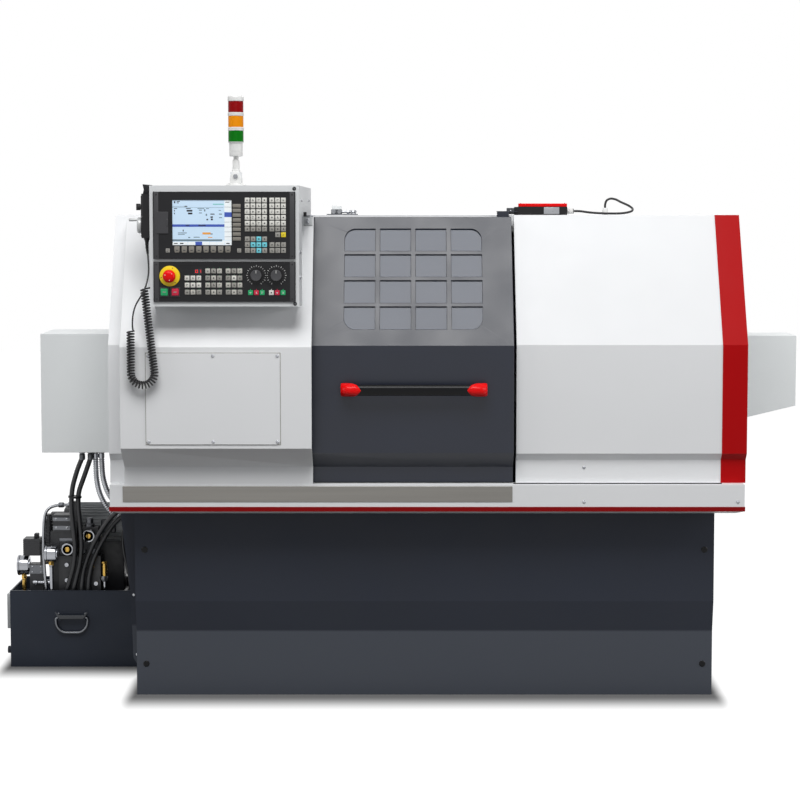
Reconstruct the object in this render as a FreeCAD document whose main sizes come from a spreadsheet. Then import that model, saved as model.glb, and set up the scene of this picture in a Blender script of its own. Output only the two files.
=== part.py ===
import FreeCAD, Part
import math
import os

import Sketcher
from FreeCAD import Placement, Rotation, Vector

# CNC turning lathe with a closed sheet-metal guard, sliding door, control box and hydraulic unit.
# X runs along the spindle to the tailstock, the operator stands at -Y, Z is up, lengths are millimetres.
# The origin lies on the floor in the middle of the stand.

SIZES = {
    # stand
    "base_left": -898, "base_right": 898, "base_front": -400, "base_back": 400, "base_top": 590,
    "base_wall": 12, "plinth_inset": 20, "plinth_top": 202, "band_low": 299, "bulkhead_at": 450,
    "plug_radius": 8.5, "plug_inset": 30, "plug_high": 461, "plug_low": 98,
    "gusset_reach": 62, "gusset_thickness": 10, "gusset_front": -300,
    # chip tray
    "tray_left": -957, "tray_right": 970, "tray_front": -520, "tray_back": 500, "rim_top": 681,
    "tray_wall": 6, "tray_floor": 9, "bevel_run": 24, "bevel_rise": 9, "rim_flange": 50,
    "trim_height": 14, "trim_thickness": 1.5, "strip_left": -917, "strip_right": 265,
    "strip_low": 628, "strip_high": 676, "strip_thickness": 2,
    # guard
    "guard_left": -960, "guard_right": 978, "guard_back": 480, "skin": 3, "skin_front": -500,
    "skin_lip": -481, "lip_top": 752, "face_low": 773, "fold": 1104, "roof": 1496, "roof_front": -310,
    "hood_left": -912, "hood_right": -340, "hood_front": -595, "hood_lip": -518, "hood_lip_top": 736,
    "hood_face_low": 800, "hood_top_front": -405, "hood_flange_back": -330, "edge_return": 22,
    "hood_return": 8,
    "right_cover_left": 277, "stripe_width": 76, "screw_radius": 5, "screw_head": 2.5,
    "access_left": -834, "access_right": -434, "access_low": 813, "access_high": 1086,
    "access_corner": 12, "rail_height": 20, "rail_depth": 15, "rail_top": 1482, "roof_turn_down": 50,
    # sliding door
    "door_left": -365, "door_right": 268, "door_front": -530, "door_lip": -485, "door_foot": 684,
    "door_lip_top": 731, "door_face_low": 779, "door_top": 1490, "door_top_front": -343,
    "door_flange_back": -309, "grid_depth": 3, "pane_left": -246, "pane_low": 1151.5,
    "pane_width": 94, "pane_height": 67.5, "pane_pitch_across": 109, "pane_pitch_up": 78.2,
    "pane_corner": 34, "window_edge": 12, "window_thickness": 4,
    "handle_left": -254, "handle_right": 186, "handle_middle": 973, "handle_end_length": 56,
    "handle_end_height": 41, "handle_bar_height": 33, "handle_bar_depth": 24, "handle_reach": 56,
    # interlock
    "switch_left": 281, "switch_length": 164, "switch_depth": 38, "switch_front": -300,
    "switch_height": 25, "switch_cap": 10, "tongue_thickness": 3, "tongue_engage": 9,
    "gland_radius": 8, "gland_length": 21, "roof_gland_at": 573, "interlock_cable_diameter": 7,
    # boxes at the ends
    "spindle_box_left": -1229, "spindle_box_drop": 253, "spindle_box_rise": 130,
    "spindle_box_front": -150, "spindle_box_back": 85, "conduit_flange_left": -1135,
    "conduit_flange_right": -1010, "conduit_flange_thickness": 10,
    "end_box_right": 1205, "end_box_high": 1106, "end_box_low": 824, "end_box_low_outer": 879,
    "end_box_front": -100, "end_box_back": 55,
    # electrical cabinet on the back
    "cabinet_half_width": 450, "cabinet_depth": 200, "cabinet_low": 720, "cabinet_high": 1440,
    "cabinet_door_depth": 13, "hinge_radius": 6, "hinge_length": 30, "module_width": 90,
    "module_height": 260, "module_depth": 110,
    # control box
    "box_left": -813, "box_right": -373, "box_front": -640, "box_low": 1228, "box_high": 1584,
    "box_back": -440, "box_back_high": 1577, "box_flare": 26, "box_frame": 16, "cross_bar_lap": 8,
    "box_cavity": 95, "box_rim": 45, "box_step": 6,
    "plate_thickness": 6, "plate_inset": 10.5, "upper_plate_low": 1368, "upper_plate_high": 1566,
    "lower_plate_low": 1242, "lower_plate_high": 1361,
    "screen_left": -745, "screen_right": -571, "screen_low": 1409, "screen_high": 1541,
    "screen_recess": 3, "key_side": 14.2, "key_pitch": 16.95, "key_height": 2,
    "key_block_left": -525, "key_block_right": -452.5, "key_top_row": 1541, "cursor_row": 1427,
    "softkey_width": 24, "softkey_height": 10.6, "softkey_pitch": 13.85, "softkey_at": -556,
    "softkey_top": 1524.3, "foot_key_width": 16, "foot_key_height": 19, "foot_key_pitch": 21.4,
    "foot_key_left": -732, "foot_key_row": 1396.5, "machine_key_pitch": 17.2, "machine_row_pitch": 20.8,
    "machine_key_top": 1333, "machine_keys_left": -703, "machine_keys_middle": -642,
    "machine_keys_right": -582, "mode_key_row": 1269, "mode_keys_left": -516.5, "mode_keys_right": -455,
    "stop_at": -754, "stop_row": 1318, "collar_radius": 30, "collar_height": 6, "mushroom_radius": 19,
    "mushroom_height": 14, "mushroom_lift": 10, "stem_radius": 9.7, "push_side": 21, "push_row": 1271,
    "start_at": -770, "halt_at": -738, "push_height": 8, "dial_row": 1320, "feed_at": -499,
    "override_at": -440, "dial_radius": 17.4, "dial_height": 16, "dial_stem": 4,
    "flap_left": -793, "flap_width": 36, "flap_low": 1443, "flap_height": 64, "flap_thickness": 3,
    # hand pendant
    "holder_thickness": 4, "pendant_thickness": 23, "pendant_front": -622, "pendant_depth": 74,
    "pendant_low": 1429, "pendant_height": 131, "wheel_radius": 24, "wheel_thickness": 15,
    "wheel_height": 38, "crank_radius": 5, "crank_length": 26, "crank_offset": 16,
    "selector_radius": 7, "selector_height": 92, "selector_length": 15,
    "cord_wire": 4.8, "curl_radius": 10, "curl_count": 58.25, "cord_front": -619,
    # signal tower
    "tower_at": -564, "tower_depth": -560, "tower_foot_radius": 22, "tower_foot_height": 6,
    "pivot_rise": 28, "ear_thickness": 5, "ear_width": 32, "ear_height": 40, "pivot_block": 25,
    "pivot_radius": 4, "mast_radius": 10.5, "mast_top": 1660, "neck_radius": 7.5, "lamp_base": 1671,
    "lamp_base_radius": 20, "lens_start": 1714, "lens_height": 33, "ring_height": 10.5,
    "lens_radius": 23, "lens_wall": 3, "ring_radius": 24, "cap_height": 17, "tower_rod": 6,
    # hydraulic unit
    "tank_left": -1366, "tank_front": -10, "tank_back": 250, "tank_high": 254, "tank_wall": 5,
    "deck_high": 213, "deck_thickness": 8, "filler_radius": 25, "filler_at": -950, "filler_depth": 190,
    "bail_at": -1161.5, "bail_width": 95, "bail_high": 166, "bail_drop": 50, "bail_radius": 4,
    "manifold_front": 34, "manifold_back": 100, "manifold_high": 362,
    "pump_motor_radius": 70, "pump_motor_left": -1190, "pump_motor_right": -985,
    "pump_depth": 172, "pump_height": 452, "pump_radius": 38,
    "gauge_radius": 34, "gauge_thickness": 38, "hose_diameter": 16, "thin_hose_diameter": 10,
    "conduit_diameter": 19, "pipe_diameter": 10,
    # spindle and headstock
    "axis_depth": -32, "axis_height": 985, "headstock_left": -720, "headstock_right": -380,
    "headstock_front": -172, "headstock_back": 108, "headstock_rise": 145, "headstock_chamfer": 60,
    "spindle_radius": 50, "spindle_nose": -330, "nose_radius": 82, "nose_thickness": 22,
    "spindle_bore": 21, "tail_radius": 32, "tail_start": -760, "cylinder_right": -1060,
    "cylinder_left": -1190, "cylinder_radius": 78, "bearing_width": 32, "bearing_relief": 18,
    "chuck_radius": 100, "chuck_depth": 90, "chuck_bore": 26, "jaw_width": 30, "jaw_height": 40,
    "jaw_inner": 34, "jaw_outer": 94, "jaw_key": 14, "jaw_key_depth": 9,
    "belt_left": -840, "belt_width": 50, "spindle_pulley": 85, "motor_pulley_radius": 60,
    "belt_thickness": 6, "motor_left": -700, "motor_right": -420, "motor_radius": 100,
    "motor_depth": 300, "motor_height": 720, "motor_shaft": 18, "shaft_seat": 35, "motor_foot": 42,
    # bed, slides and tailstock
    "bed_left": -700, "bed_right": 880, "bed_front": -162, "bed_back": 98, "bed_high": 800,
    "way_height": 45, "web_inset": 28, "trough_low": 690, "way_width": 62,
    "saddle_left": 150, "saddle_length": 200, "saddle_front": -215, "saddle_back": 150,
    "saddle_top": 850, "apron_low": 700, "apron_thickness": 47, "apron_inset": 30,
    "slide_inset": 30, "slide_front": -250, "slide_back": 60, "slide_thickness": 30,
    "turret_depth": -180, "turret_side": 110, "turret_base_height": 25, "turret_base_radius": 50,
    "turret_height": 80, "tool_side": 20, "tool_reach": 34,
    "screw_depth": -190, "screw_height": 740, "screw_dia": 32, "block_length": 30, "block_side": 50,
    "servo_side": 86, "servo_length": 80,
    "tail_left": 560, "tail_length": 200, "tail_front": -122, "tail_back": 58, "tail_rise": 80,
    "quill_radius": 35, "quill_reach": 90, "centre_length": 60, "quill_seat": 180,
    "clearance": 0.3,
}

DOC = FreeCAD.newDocument("Lathe")
SHEET = DOC.addObject("Spreadsheet::Sheet", "Sizes")
for row, (alias, value) in enumerate(SIZES.items(), start=1):
    SHEET.set(f"A{row}", alias.replace("_", " "))
    SHEET.set(f"B{row}", str(value))
    SHEET.setAlias(f"B{row}", alias)
DOC.recompute()


class Size:
    """A length that knows its value and the expression that the document binds to."""

    def __init__(self, value, text):
        self.value = float(value)
        self.text = text

    def __add__(self, other):
        other = as_size(other)
        return Size(self.value + other.value, f"({self.text} + {other.text})")

    def __sub__(self, other):
        other = as_size(other)
        return Size(self.value - other.value, f"({self.text} - {other.text})")

    def __mul__(self, other):
        other = as_size(other)
        return Size(self.value * other.value, f"({self.text} * {other.text})")

    def __truediv__(self, other):
        other = as_size(other)
        return Size(self.value / other.value, f"({self.text} / {other.text})")

    def __radd__(self, other):
        return as_size(other) + self

    def __rsub__(self, other):
        return as_size(other) - self

    def __neg__(self):
        return Size(-self.value, f"(0 - {self.text})")


def as_size(value):
    return value if isinstance(value, Size) else Size(value, repr(float(value)))


class Names:
    """Gives each size of the sheet by its name."""

    def __getattr__(self, alias):
        return Size(SHEET.get(alias), "Sizes." + alias)


s = Names()
NODES = {}
HEADSTOCK_TOP = s.axis_height + s.headstock_rise
TAILSTOCK_TOP = s.axis_height + s.tail_rise
SPINDLE_BOX_LOW = s.axis_height - s.spindle_box_drop
SPINDLE_BOX_TOP = s.axis_height + s.spindle_box_rise
TANK_LENGTH = s.base_left - s.tank_left
MANIFOLD_PLACE = 0.3312
MANIFOLD_SPAN = 0.297
MANIFOLD_LEFT = s.tank_left + TANK_LENGTH * MANIFOLD_PLACE
MANIFOLD_WIDTH = TANK_LENGTH * MANIFOLD_SPAN
MANIFOLD_RIGHT = MANIFOLD_LEFT + MANIFOLD_WIDTH


def bind(item, field, value):
    item.setExpression(field, as_size(value).text)


def place(item, x, y, z):
    for letter, value in zip("xyz", (x, y, z)):
        bind(item, f"Placement.Base.{letter}", value)


def node(item, name):
    """Names a finished sub-part."""
    item.Label = name
    NODES[name] = item
    return item


# ---------------------------------------------------------------- building blocks


def box(name, across, deep, up):
    """A block given by its two limits along X, Y and Z."""
    block = DOC.addObject("Part::Box", name)
    for field, (low, high) in zip(("Length", "Width", "Height"), (across, deep, up)):
        bind(block, field, as_size(high) - low)
    place(block, across[0], deep[0], up[0])
    return block


TURN = {
    "X": Rotation(Vector(0, 1, 0), 90),
    "Y": Rotation(Vector(1, 0, 0), -90),
    "Z": Rotation(),
}


def rod(name, axis, start, radius, length):
    """A round bar from its start point along +X, +Y or +Z."""
    bar = DOC.addObject("Part::Cylinder", name)
    bind(bar, "Radius", radius)
    bind(bar, "Height", length)
    bar.Placement = Placement(Vector(), TURN[axis])
    place(bar, *start)
    return bar


def fuse(name, *shapes):
    joined = DOC.addObject("Part::MultiFuse", name)
    joined.Shapes = list(shapes)
    joined.Refine = True
    return joined


def cut(name, base, *tools):
    trimmed = DOC.addObject("Part::Cut", name)
    trimmed.Base = base
    trimmed.Tool = tools[0] if len(tools) == 1 else fuse(name + "_tools", *tools)
    return trimmed


def common(name, first, second):
    overlap = DOC.addObject("Part::Common", name)
    overlap.Base, overlap.Tool = first, second
    return overlap


def group(name, *shapes):
    """Separate solids that share a node."""
    bundle = DOC.addObject("Part::Compound", name)
    bundle.Links = list(shapes)
    return bundle


def sketch_in(body, plane, outline, name):
    """A closed outline on one of the body's origin planes, each corner held by two named distances."""
    sketch = body.newObject("Sketcher::SketchObject", name)
    support = next(item for item in body.Origin.OriginFeatures if item.Role == plane)
    sketch.AttachmentSupport = (support, [""])
    sketch.MapMode = "FlatFace"
    corners = [(as_size(a), as_size(b)) for a, b in outline]
    for here, (a, b) in enumerate(corners):
        c, d = corners[(here + 1) % len(corners)]
        sketch.addGeometry(Part.LineSegment(Vector(a.value, b.value), Vector(c.value, d.value)), False)
    for here in range(len(corners)):
        follower = (here + 1) % len(corners)
        sketch.addConstraint(Sketcher.Constraint("Coincident", here, 2, follower, 1))
    for here, corner in enumerate(corners):
        for kind, value in zip(("DistanceX", "DistanceY"), corner):
            index = sketch.addConstraint(Sketcher.Constraint(kind, -1, 1, here, 1, value.value))
            sketch.setExpression(f"Constraints[{index}]", value.text)
    return sketch


def prism(name, plane, outline, low, high):
    """An outline padded between two limits: YZ along X, XZ along Y, XY along Z."""
    body = DOC.addObject("PartDesign::Body", name)
    sketch = sketch_in(body, plane + "_Plane", outline, name + "_outline")
    start = -as_size(high) if plane == "XZ" else low
    bind(sketch, "AttachmentOffset.Base.z", start)
    pad = body.newObject("PartDesign::Pad", name + "_pad")
    pad.Profile = sketch
    bind(pad, "Length", as_size(high) - low)
    return body


def turned(name, axis, start, outline):
    """A turned piece: (radius, height) corners spun about an axis through its start point."""
    body = DOC.addObject("PartDesign::Body", name)
    sketch = sketch_in(body, "XZ_Plane", outline, name + "_outline")
    spin = body.newObject("PartDesign::Revolution", name + "_spin")
    spin.Profile = sketch
    spin.ReferenceAxis = (sketch, ["V_Axis"])
    spin.Angle = 360
    body.Placement = Placement(Vector(), TURN[axis])
    place(body, *start)
    return body


def round_edges(body, radius, wanted):
    """Rounds the edges of a body whose tip passes the test."""
    DOC.recompute()
    solid = body.Tip
    edges = [f"Edge{i}" for i, edge in enumerate(solid.Shape.Edges, 1) if wanted(edge)]
    fillet = body.newObject("PartDesign::Fillet", body.Name + "_round")
    fillet.Base = (solid, edges)
    bind(fillet, "Radius", radius)
    return body


def runs_along(edge, axis):
    """True for a straight edge along an axis."""
    ends = [vertex.Point for vertex in edge.Vertexes]
    if len(ends) < 2:
        return False
    way = ends[1] - ends[0]
    return abs(abs(way.dot(axis)) - way.Length) < 1e-6


def folded_sheet(line, thickness, flange=None):
    """The closed section of a bent sheet: its outer line and the same line moved inwards along Y."""
    back = [(y + thickness, z) for y, z in line]
    if flange is not None:
        (low_y, low_z), (top_y, top_z) = line[-2:]
        lean = (top_y - low_y) / (top_z - low_z)
        back[-1] = (top_y + thickness - thickness * lean, top_z - thickness)
        back += [(flange, top_z - thickness)]
        return line + [(flange, top_z)] + back[::-1]
    return line + back[::-1]


# ---------------------------------------------------------------- section lines of the guard

SKIN_LINE = [
    (s.skin_lip, s.rim_top),
    (s.skin_lip, s.lip_top),
    (s.skin_front, s.face_low),
    (s.skin_front, s.fold),
    (s.roof_front, s.roof),
]
HOOD_LINE = [
    (s.hood_lip, s.rim_top),
    (s.hood_lip, s.hood_lip_top),
    (s.hood_front, s.hood_face_low),
    (s.hood_front, s.fold),
    (s.hood_top_front, s.roof),
]
DOOR_LINE = [
    (s.door_lip, s.door_foot),
    (s.door_lip, s.door_lip_top),
    (s.door_front, s.door_face_low),
    (s.door_front, s.fold),
    (s.door_top_front, s.door_top),
]
ROOF_EDGE = s.roof_front + s.skin
RIM_UNDER = s.rim_top - s.tray_wall
TRAY_FLOOR_TOP = s.base_top + s.tray_floor
TRIM_LOW = s.base_top + s.bevel_rise


def on_slope(line, z, behind=0):
    """Y on a line's upper leaning face at a height, moved back by an amount."""
    (low_y, low_z), (top_y, top_z) = line[-2:]
    return low_y + (top_y - low_y) * (z - low_z) / (top_z - low_z) + behind


# ---------------------------------------------------------------- stand and tray


def make_base_frame():
    shell = prism("stand_shell", "YZ", [
        (s.base_front + s.plinth_inset, 0),
        (s.base_back, 0),
        (s.base_back, s.base_top),
        (s.base_front, s.base_top),
        (s.base_front, s.band_low),
        (s.base_front + s.plinth_inset, s.plinth_top),
    ], s.base_left, s.base_right)
    walls = [s.base_left, -s.bulkhead_at, s.bulkhead_at, s.base_right]
    inner_front = s.base_front + s.plinth_inset + s.base_wall
    half = s.base_wall / 2
    bays = []
    for index, (left, right) in enumerate(zip(walls, walls[1:])):
        low = left + (s.base_wall if index == 0 else half)
        high = right - (s.base_wall if index == 2 else half)
        bays.append(box(f"stand_bay_{index}", (low, high), (inner_front, s.base_back + 1),
                        (s.base_wall, s.base_top - s.base_wall)))
    plugs = []
    for side, x in (("left", s.base_left + s.plug_inset), ("right", s.base_right - s.plug_inset)):
        for level, z in (("high", s.plug_high), ("low", s.plug_low)):
            plugs.append(rod(f"plug_{side}_{level}", "Y", (x, s.base_front - 1, z), s.plug_radius,
                             s.plinth_inset + s.base_wall / 2))
    body = cut("stand_body", shell, *bays, *plugs)
    gusset = prism("stand_gusset", "XZ", [
        (s.base_left, 60),
        (s.base_left, s.base_top),
        (s.base_left - s.gusset_reach, s.base_top),
        (s.base_left - s.gusset_reach * 0.45, s.band_low),
        (s.base_left - s.gusset_reach * 0.35, s.plug_low),
    ], s.gusset_front, s.gusset_front + s.gusset_thickness)
    node(fuse("base_frame", body, gusset), "base_frame")


def make_chip_tray():
    long_way = prism("tray_long", "YZ", [
        (s.tray_front, s.rim_top),
        (s.tray_front, TRIM_LOW),
        (s.tray_front + s.bevel_run, s.base_top),
        (s.tray_back, s.base_top),
        (s.tray_back, s.rim_top),
    ], s.tray_left, s.tray_right)
    cross_way = prism("tray_cross", "XZ", [
        (s.tray_left, s.rim_top),
        (s.tray_left, TRIM_LOW),
        (s.tray_left + s.bevel_run, s.base_top),
        (s.tray_right - s.bevel_run, s.base_top),
        (s.tray_right, TRIM_LOW),
        (s.tray_right, s.rim_top),
    ], s.tray_front, s.tray_back)
    block = common("tray_block", long_way, cross_way)
    pan = box("tray_pan", (s.tray_left + s.tray_wall, s.tray_right - s.tray_wall),
              (s.tray_front + s.tray_wall, s.tray_back - s.tray_wall), (TRAY_FLOOR_TOP, RIM_UNDER))
    mouth = box("tray_mouth", (s.tray_left + s.rim_flange, s.tray_right - s.rim_flange),
                (s.tray_front + s.rim_flange, s.tray_back - s.rim_flange), (RIM_UNDER - 1, s.rim_top + 1))
    node(cut("chip_tray", block, pan, mouth), "chip_tray")


def make_trim():
    front = s.tray_front - s.strip_thickness
    node(box("tray_steel_strip", (s.strip_left, s.strip_right), (front, s.tray_front),
             (s.strip_low, s.strip_high)), "tray_steel_strip")
    proud = s.trim_thickness
    level = (TRIM_LOW, TRIM_LOW + s.trim_height)
    line = fuse(
        "tray_line",
        box("line_front", (s.tray_left - proud, s.tray_right + proud),
            (s.tray_front - proud, s.tray_front), level),
        box("line_left", (s.tray_left - proud, s.tray_left), (s.tray_front, s.tray_back), level),
        box("line_right", (s.tray_right, s.tray_right + proud), (s.tray_front, s.tray_back), level),
    )
    outer = [(y - proud, z) for y, z in SKIN_LINE]
    stripe = prism("corner_stripe", "YZ", outer + SKIN_LINE[::-1],
                   s.guard_right - s.stripe_width, s.guard_right)
    node(group("red_trim", line, stripe), "red_trim")


# ---------------------------------------------------------------- guard


def make_left_front_cover():
    front = prism("hood_front_sheet", "YZ", folded_sheet(HOOD_LINE, s.skin, s.hood_flange_back),
                  s.hood_left, s.hood_right)
    side_line = HOOD_LINE + [(y + s.skin, z) for y, z in SKIN_LINE[::-1]]
    side = prism("hood_side", "YZ", side_line, s.hood_left, s.hood_left + s.skin)
    edge = prism("hood_edge", "YZ", folded_sheet(HOOD_LINE[:4], s.hood_return),
                 s.hood_right - s.skin, s.hood_right)
    node(fuse("left_front_cover", front, side, edge), "left_front_cover")


def make_access_panel():
    panel = prism("access_panel", "XZ", [
        (s.access_left, s.access_low),
        (s.access_right, s.access_low),
        (s.access_right, s.access_high),
        (s.access_left, s.access_high),
    ], s.hood_front - s.skin, s.hood_front)
    round_edges(panel, s.access_corner, lambda edge: runs_along(edge, Vector(0, 1, 0)))
    node(panel, "access_panel")


def make_cover_screws():
    """Button-head screws of the access panel, tray rim, stand and control box."""
    inset = s.access_corner / 1.5
    across = [s.access_left + inset, (s.access_left + s.access_right) / 2, s.access_right - inset]
    spots = [(x, s.hood_front - s.skin, z) for z in (s.access_low + inset,
                                                     s.access_high - inset) for x in across]
    spots += [(x, s.tray_front, s.strip_low) for x in (s.strip_right + 217, s.tray_right - 21)]
    spots += [(s.strip_right + 220, s.skin_lip, s.lip_top - 24)]
    gusset = [(s.base_left - 9, s.plug_low + 10), (s.base_left - 18, s.band_low),
              (s.base_left - 46, s.base_top - 20)]
    spots += [(x, s.gusset_front, z) for x, z in gusset]
    heads = []
    for index, (x, y, z) in enumerate(spots):
        heads.append(turned(f"screw_{index}", "Y", (x, y - s.screw_head, z), [
            (0, 0),
            (s.screw_radius * 0.6, 0),
            (s.screw_radius, s.screw_head * 0.6),
            (s.screw_radius, s.screw_head),
            (0, s.screw_head),
        ]))
    node(group("cover_screws", *heads), "cover_screws")


def make_right_front_cover():
    front = prism("right_front_sheet", "YZ", folded_sheet(SKIN_LINE, s.skin), s.right_cover_left,
                  s.guard_right)
    edge = prism("right_edge", "YZ", folded_sheet(SKIN_LINE[:4], s.edge_return),
                 s.right_cover_left, s.right_cover_left + s.skin)
    wall = prism("right_end_wall", "YZ", SKIN_LINE + [(s.guard_back, s.roof), (s.guard_back, s.rim_top)],
                 s.guard_right - s.skin, s.guard_right)
    passage = box("right_passage", (s.guard_right - s.skin - 1, s.guard_right + 1),
                  (s.end_box_front + 30, s.end_box_back - 30), (s.end_box_low_outer, s.end_box_high - 40))
    whole = fuse("right_cover_whole", front, edge, wall)
    node(cut("right_front_cover", whole, passage), "right_front_cover")


def make_rear_housing():
    strip = prism("left_strip", "YZ", folded_sheet(SKIN_LINE, s.skin), s.guard_left, s.hood_left)
    wall = prism("left_end_wall", "YZ", SKIN_LINE + [(s.guard_back, s.roof), (s.guard_back, s.rim_top)],
                 s.guard_left, s.guard_left + s.skin)
    inside = s.guard_right - s.skin
    roof = box("roof_sheet", (s.guard_left, inside), (ROOF_EDGE, s.guard_back), (s.roof - s.skin, s.roof))
    back = box("back_sheet", (s.guard_left, inside), (s.guard_back - s.skin, s.guard_back),
               (s.rim_top, s.roof))
    turn_down = box("roof_turn_down", (s.hood_left, s.right_cover_left), (ROOF_EDGE, ROOF_EDGE + s.skin),
                    (s.roof - s.roof_turn_down, s.roof))
    rail = box("door_rail", (s.hood_left + s.skin * 2, s.right_cover_left - s.skin),
               (ROOF_EDGE - s.rail_depth, ROOF_EDGE), (s.rail_top - s.rail_height, s.rail_top))
    gland = rod("roof_gland", "Z", (s.roof_gland_at, s.switch_front + 100, s.roof), s.gland_radius,
                s.gland_length)
    whole = fuse("rear_whole", strip, wall, roof, back, turn_down, rail, gland)
    port = rod("spindle_port", "X", (s.guard_left - 1, s.axis_depth, s.axis_height),
               s.cylinder_radius + 8, s.skin + 2)
    node(cut("rear_housing", whole, port), "rear_housing")


def make_end_boxes():
    wall = s.skin
    outer = box("spindle_box_outer", (s.spindle_box_left, s.guard_left),
                (s.spindle_box_front, s.spindle_box_back),
                (SPINDLE_BOX_LOW, SPINDLE_BOX_TOP))
    inner = box("spindle_box_inner", (s.spindle_box_left + wall, s.guard_left + 1),
                (s.spindle_box_front + wall, s.spindle_box_back - wall),
                (SPINDLE_BOX_LOW + wall, SPINDLE_BOX_TOP - wall))
    flange = box("conduit_flange", (s.conduit_flange_left, s.conduit_flange_right),
                 (s.axis_depth - 40, s.axis_depth + 70),
                 (SPINDLE_BOX_LOW - s.conduit_flange_thickness, SPINDLE_BOX_LOW))
    node(fuse("spindle_end_box", cut("spindle_box_shell", outer, inner), flange), "spindle_end_box")

    fall = (s.end_box_low_outer - s.end_box_low) / (s.end_box_right - s.guard_right)
    shell = prism("end_box_outer", "XZ", [
        (s.guard_right, s.end_box_low),
        (s.end_box_right, s.end_box_low_outer),
        (s.end_box_right, s.end_box_high),
        (s.guard_right, s.end_box_high),
    ], s.end_box_front, s.end_box_back)
    hollow = prism("end_box_inner", "XZ", [
        (s.guard_right - 1, s.end_box_low + wall - fall),
        (s.end_box_right - wall, s.end_box_low_outer + wall - wall * fall),
        (s.end_box_right - wall, s.end_box_high - wall),
        (s.guard_right - 1, s.end_box_high - wall),
    ], s.end_box_front + wall, s.end_box_back - wall)
    node(cut("right_end_box", shell, hollow), "right_end_box")


def make_cabinet():
    half = s.cabinet_half_width
    back = s.guard_back + s.cabinet_depth
    outer = box("cabinet_outer", (-half, half), (s.guard_back, back), (s.cabinet_low, s.cabinet_high))
    inner = box("cabinet_inner", (s.skin - half, half - s.skin), (s.guard_back + s.skin, back + 1),
                (s.cabinet_low + s.skin, s.cabinet_high - s.skin))
    parts = [cut("cabinet_shell", outer, inner)]
    base = s.cabinet_high - 300
    for index in range(3):
        left = -half * 0.6 + s.module_width * 1.4 * index
        parts.append(box(f"drive_module_{index}", (left, left + s.module_width),
                         (s.guard_back + s.skin, s.guard_back + s.skin + s.module_depth),
                         (base, base + s.module_height)))
    pin_x = -half - s.hinge_radius - 1
    pin_y = back + s.hinge_radius + 1
    leaves = []
    for index, level in enumerate((s.cabinet_low + 130, s.cabinet_high - 130)):
        low = level - s.hinge_length
        parts.append(rod(f"cabinet_knuckle_{index}", "Z", (pin_x, pin_y, low), s.hinge_radius,
                         s.hinge_length))
        parts.append(box(f"cabinet_leaf_{index}", (pin_x, -half), (back - 25, back - 0.5), (low, level)))
        parts.append(box(f"cabinet_link_{index}", (pin_x - 3, pin_x + 3), (back - 25, pin_y), (low, level)))
        high = level + s.clearance
        leaves.append(rod(f"door_knuckle_{index}", "Z", (pin_x, pin_y, high), s.hinge_radius,
                          s.hinge_length))
        leaves.append(box(f"door_leaf_{index}", (pin_x, 25 - half), (pin_y + 1, pin_y + s.hinge_radius + 3),
                          (high, high + s.hinge_length)))
    node(fuse("electrical_cabinet", *parts), "electrical_cabinet")
    front = back + s.clearance
    pan = box("door_pan", (1 - half, half), (front, front + s.cabinet_door_depth),
              (s.cabinet_low, s.cabinet_high))
    dish = box("door_dish", (1 - half + 20, half - 20), (front - 1, front + s.cabinet_door_depth - s.skin),
               (s.cabinet_low + 20, s.cabinet_high - 20))
    lock = rod("cabinet_lock", "Y", (half - 30, front + s.cabinet_door_depth,
                                     (s.cabinet_low + s.cabinet_high) / 2),
               s.hinge_radius * 2, 8)
    node(fuse("cabinet_door", cut("door_dished", pan, dish), lock, *leaves), "cabinet_door")


# ---------------------------------------------------------------- sliding door


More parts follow.
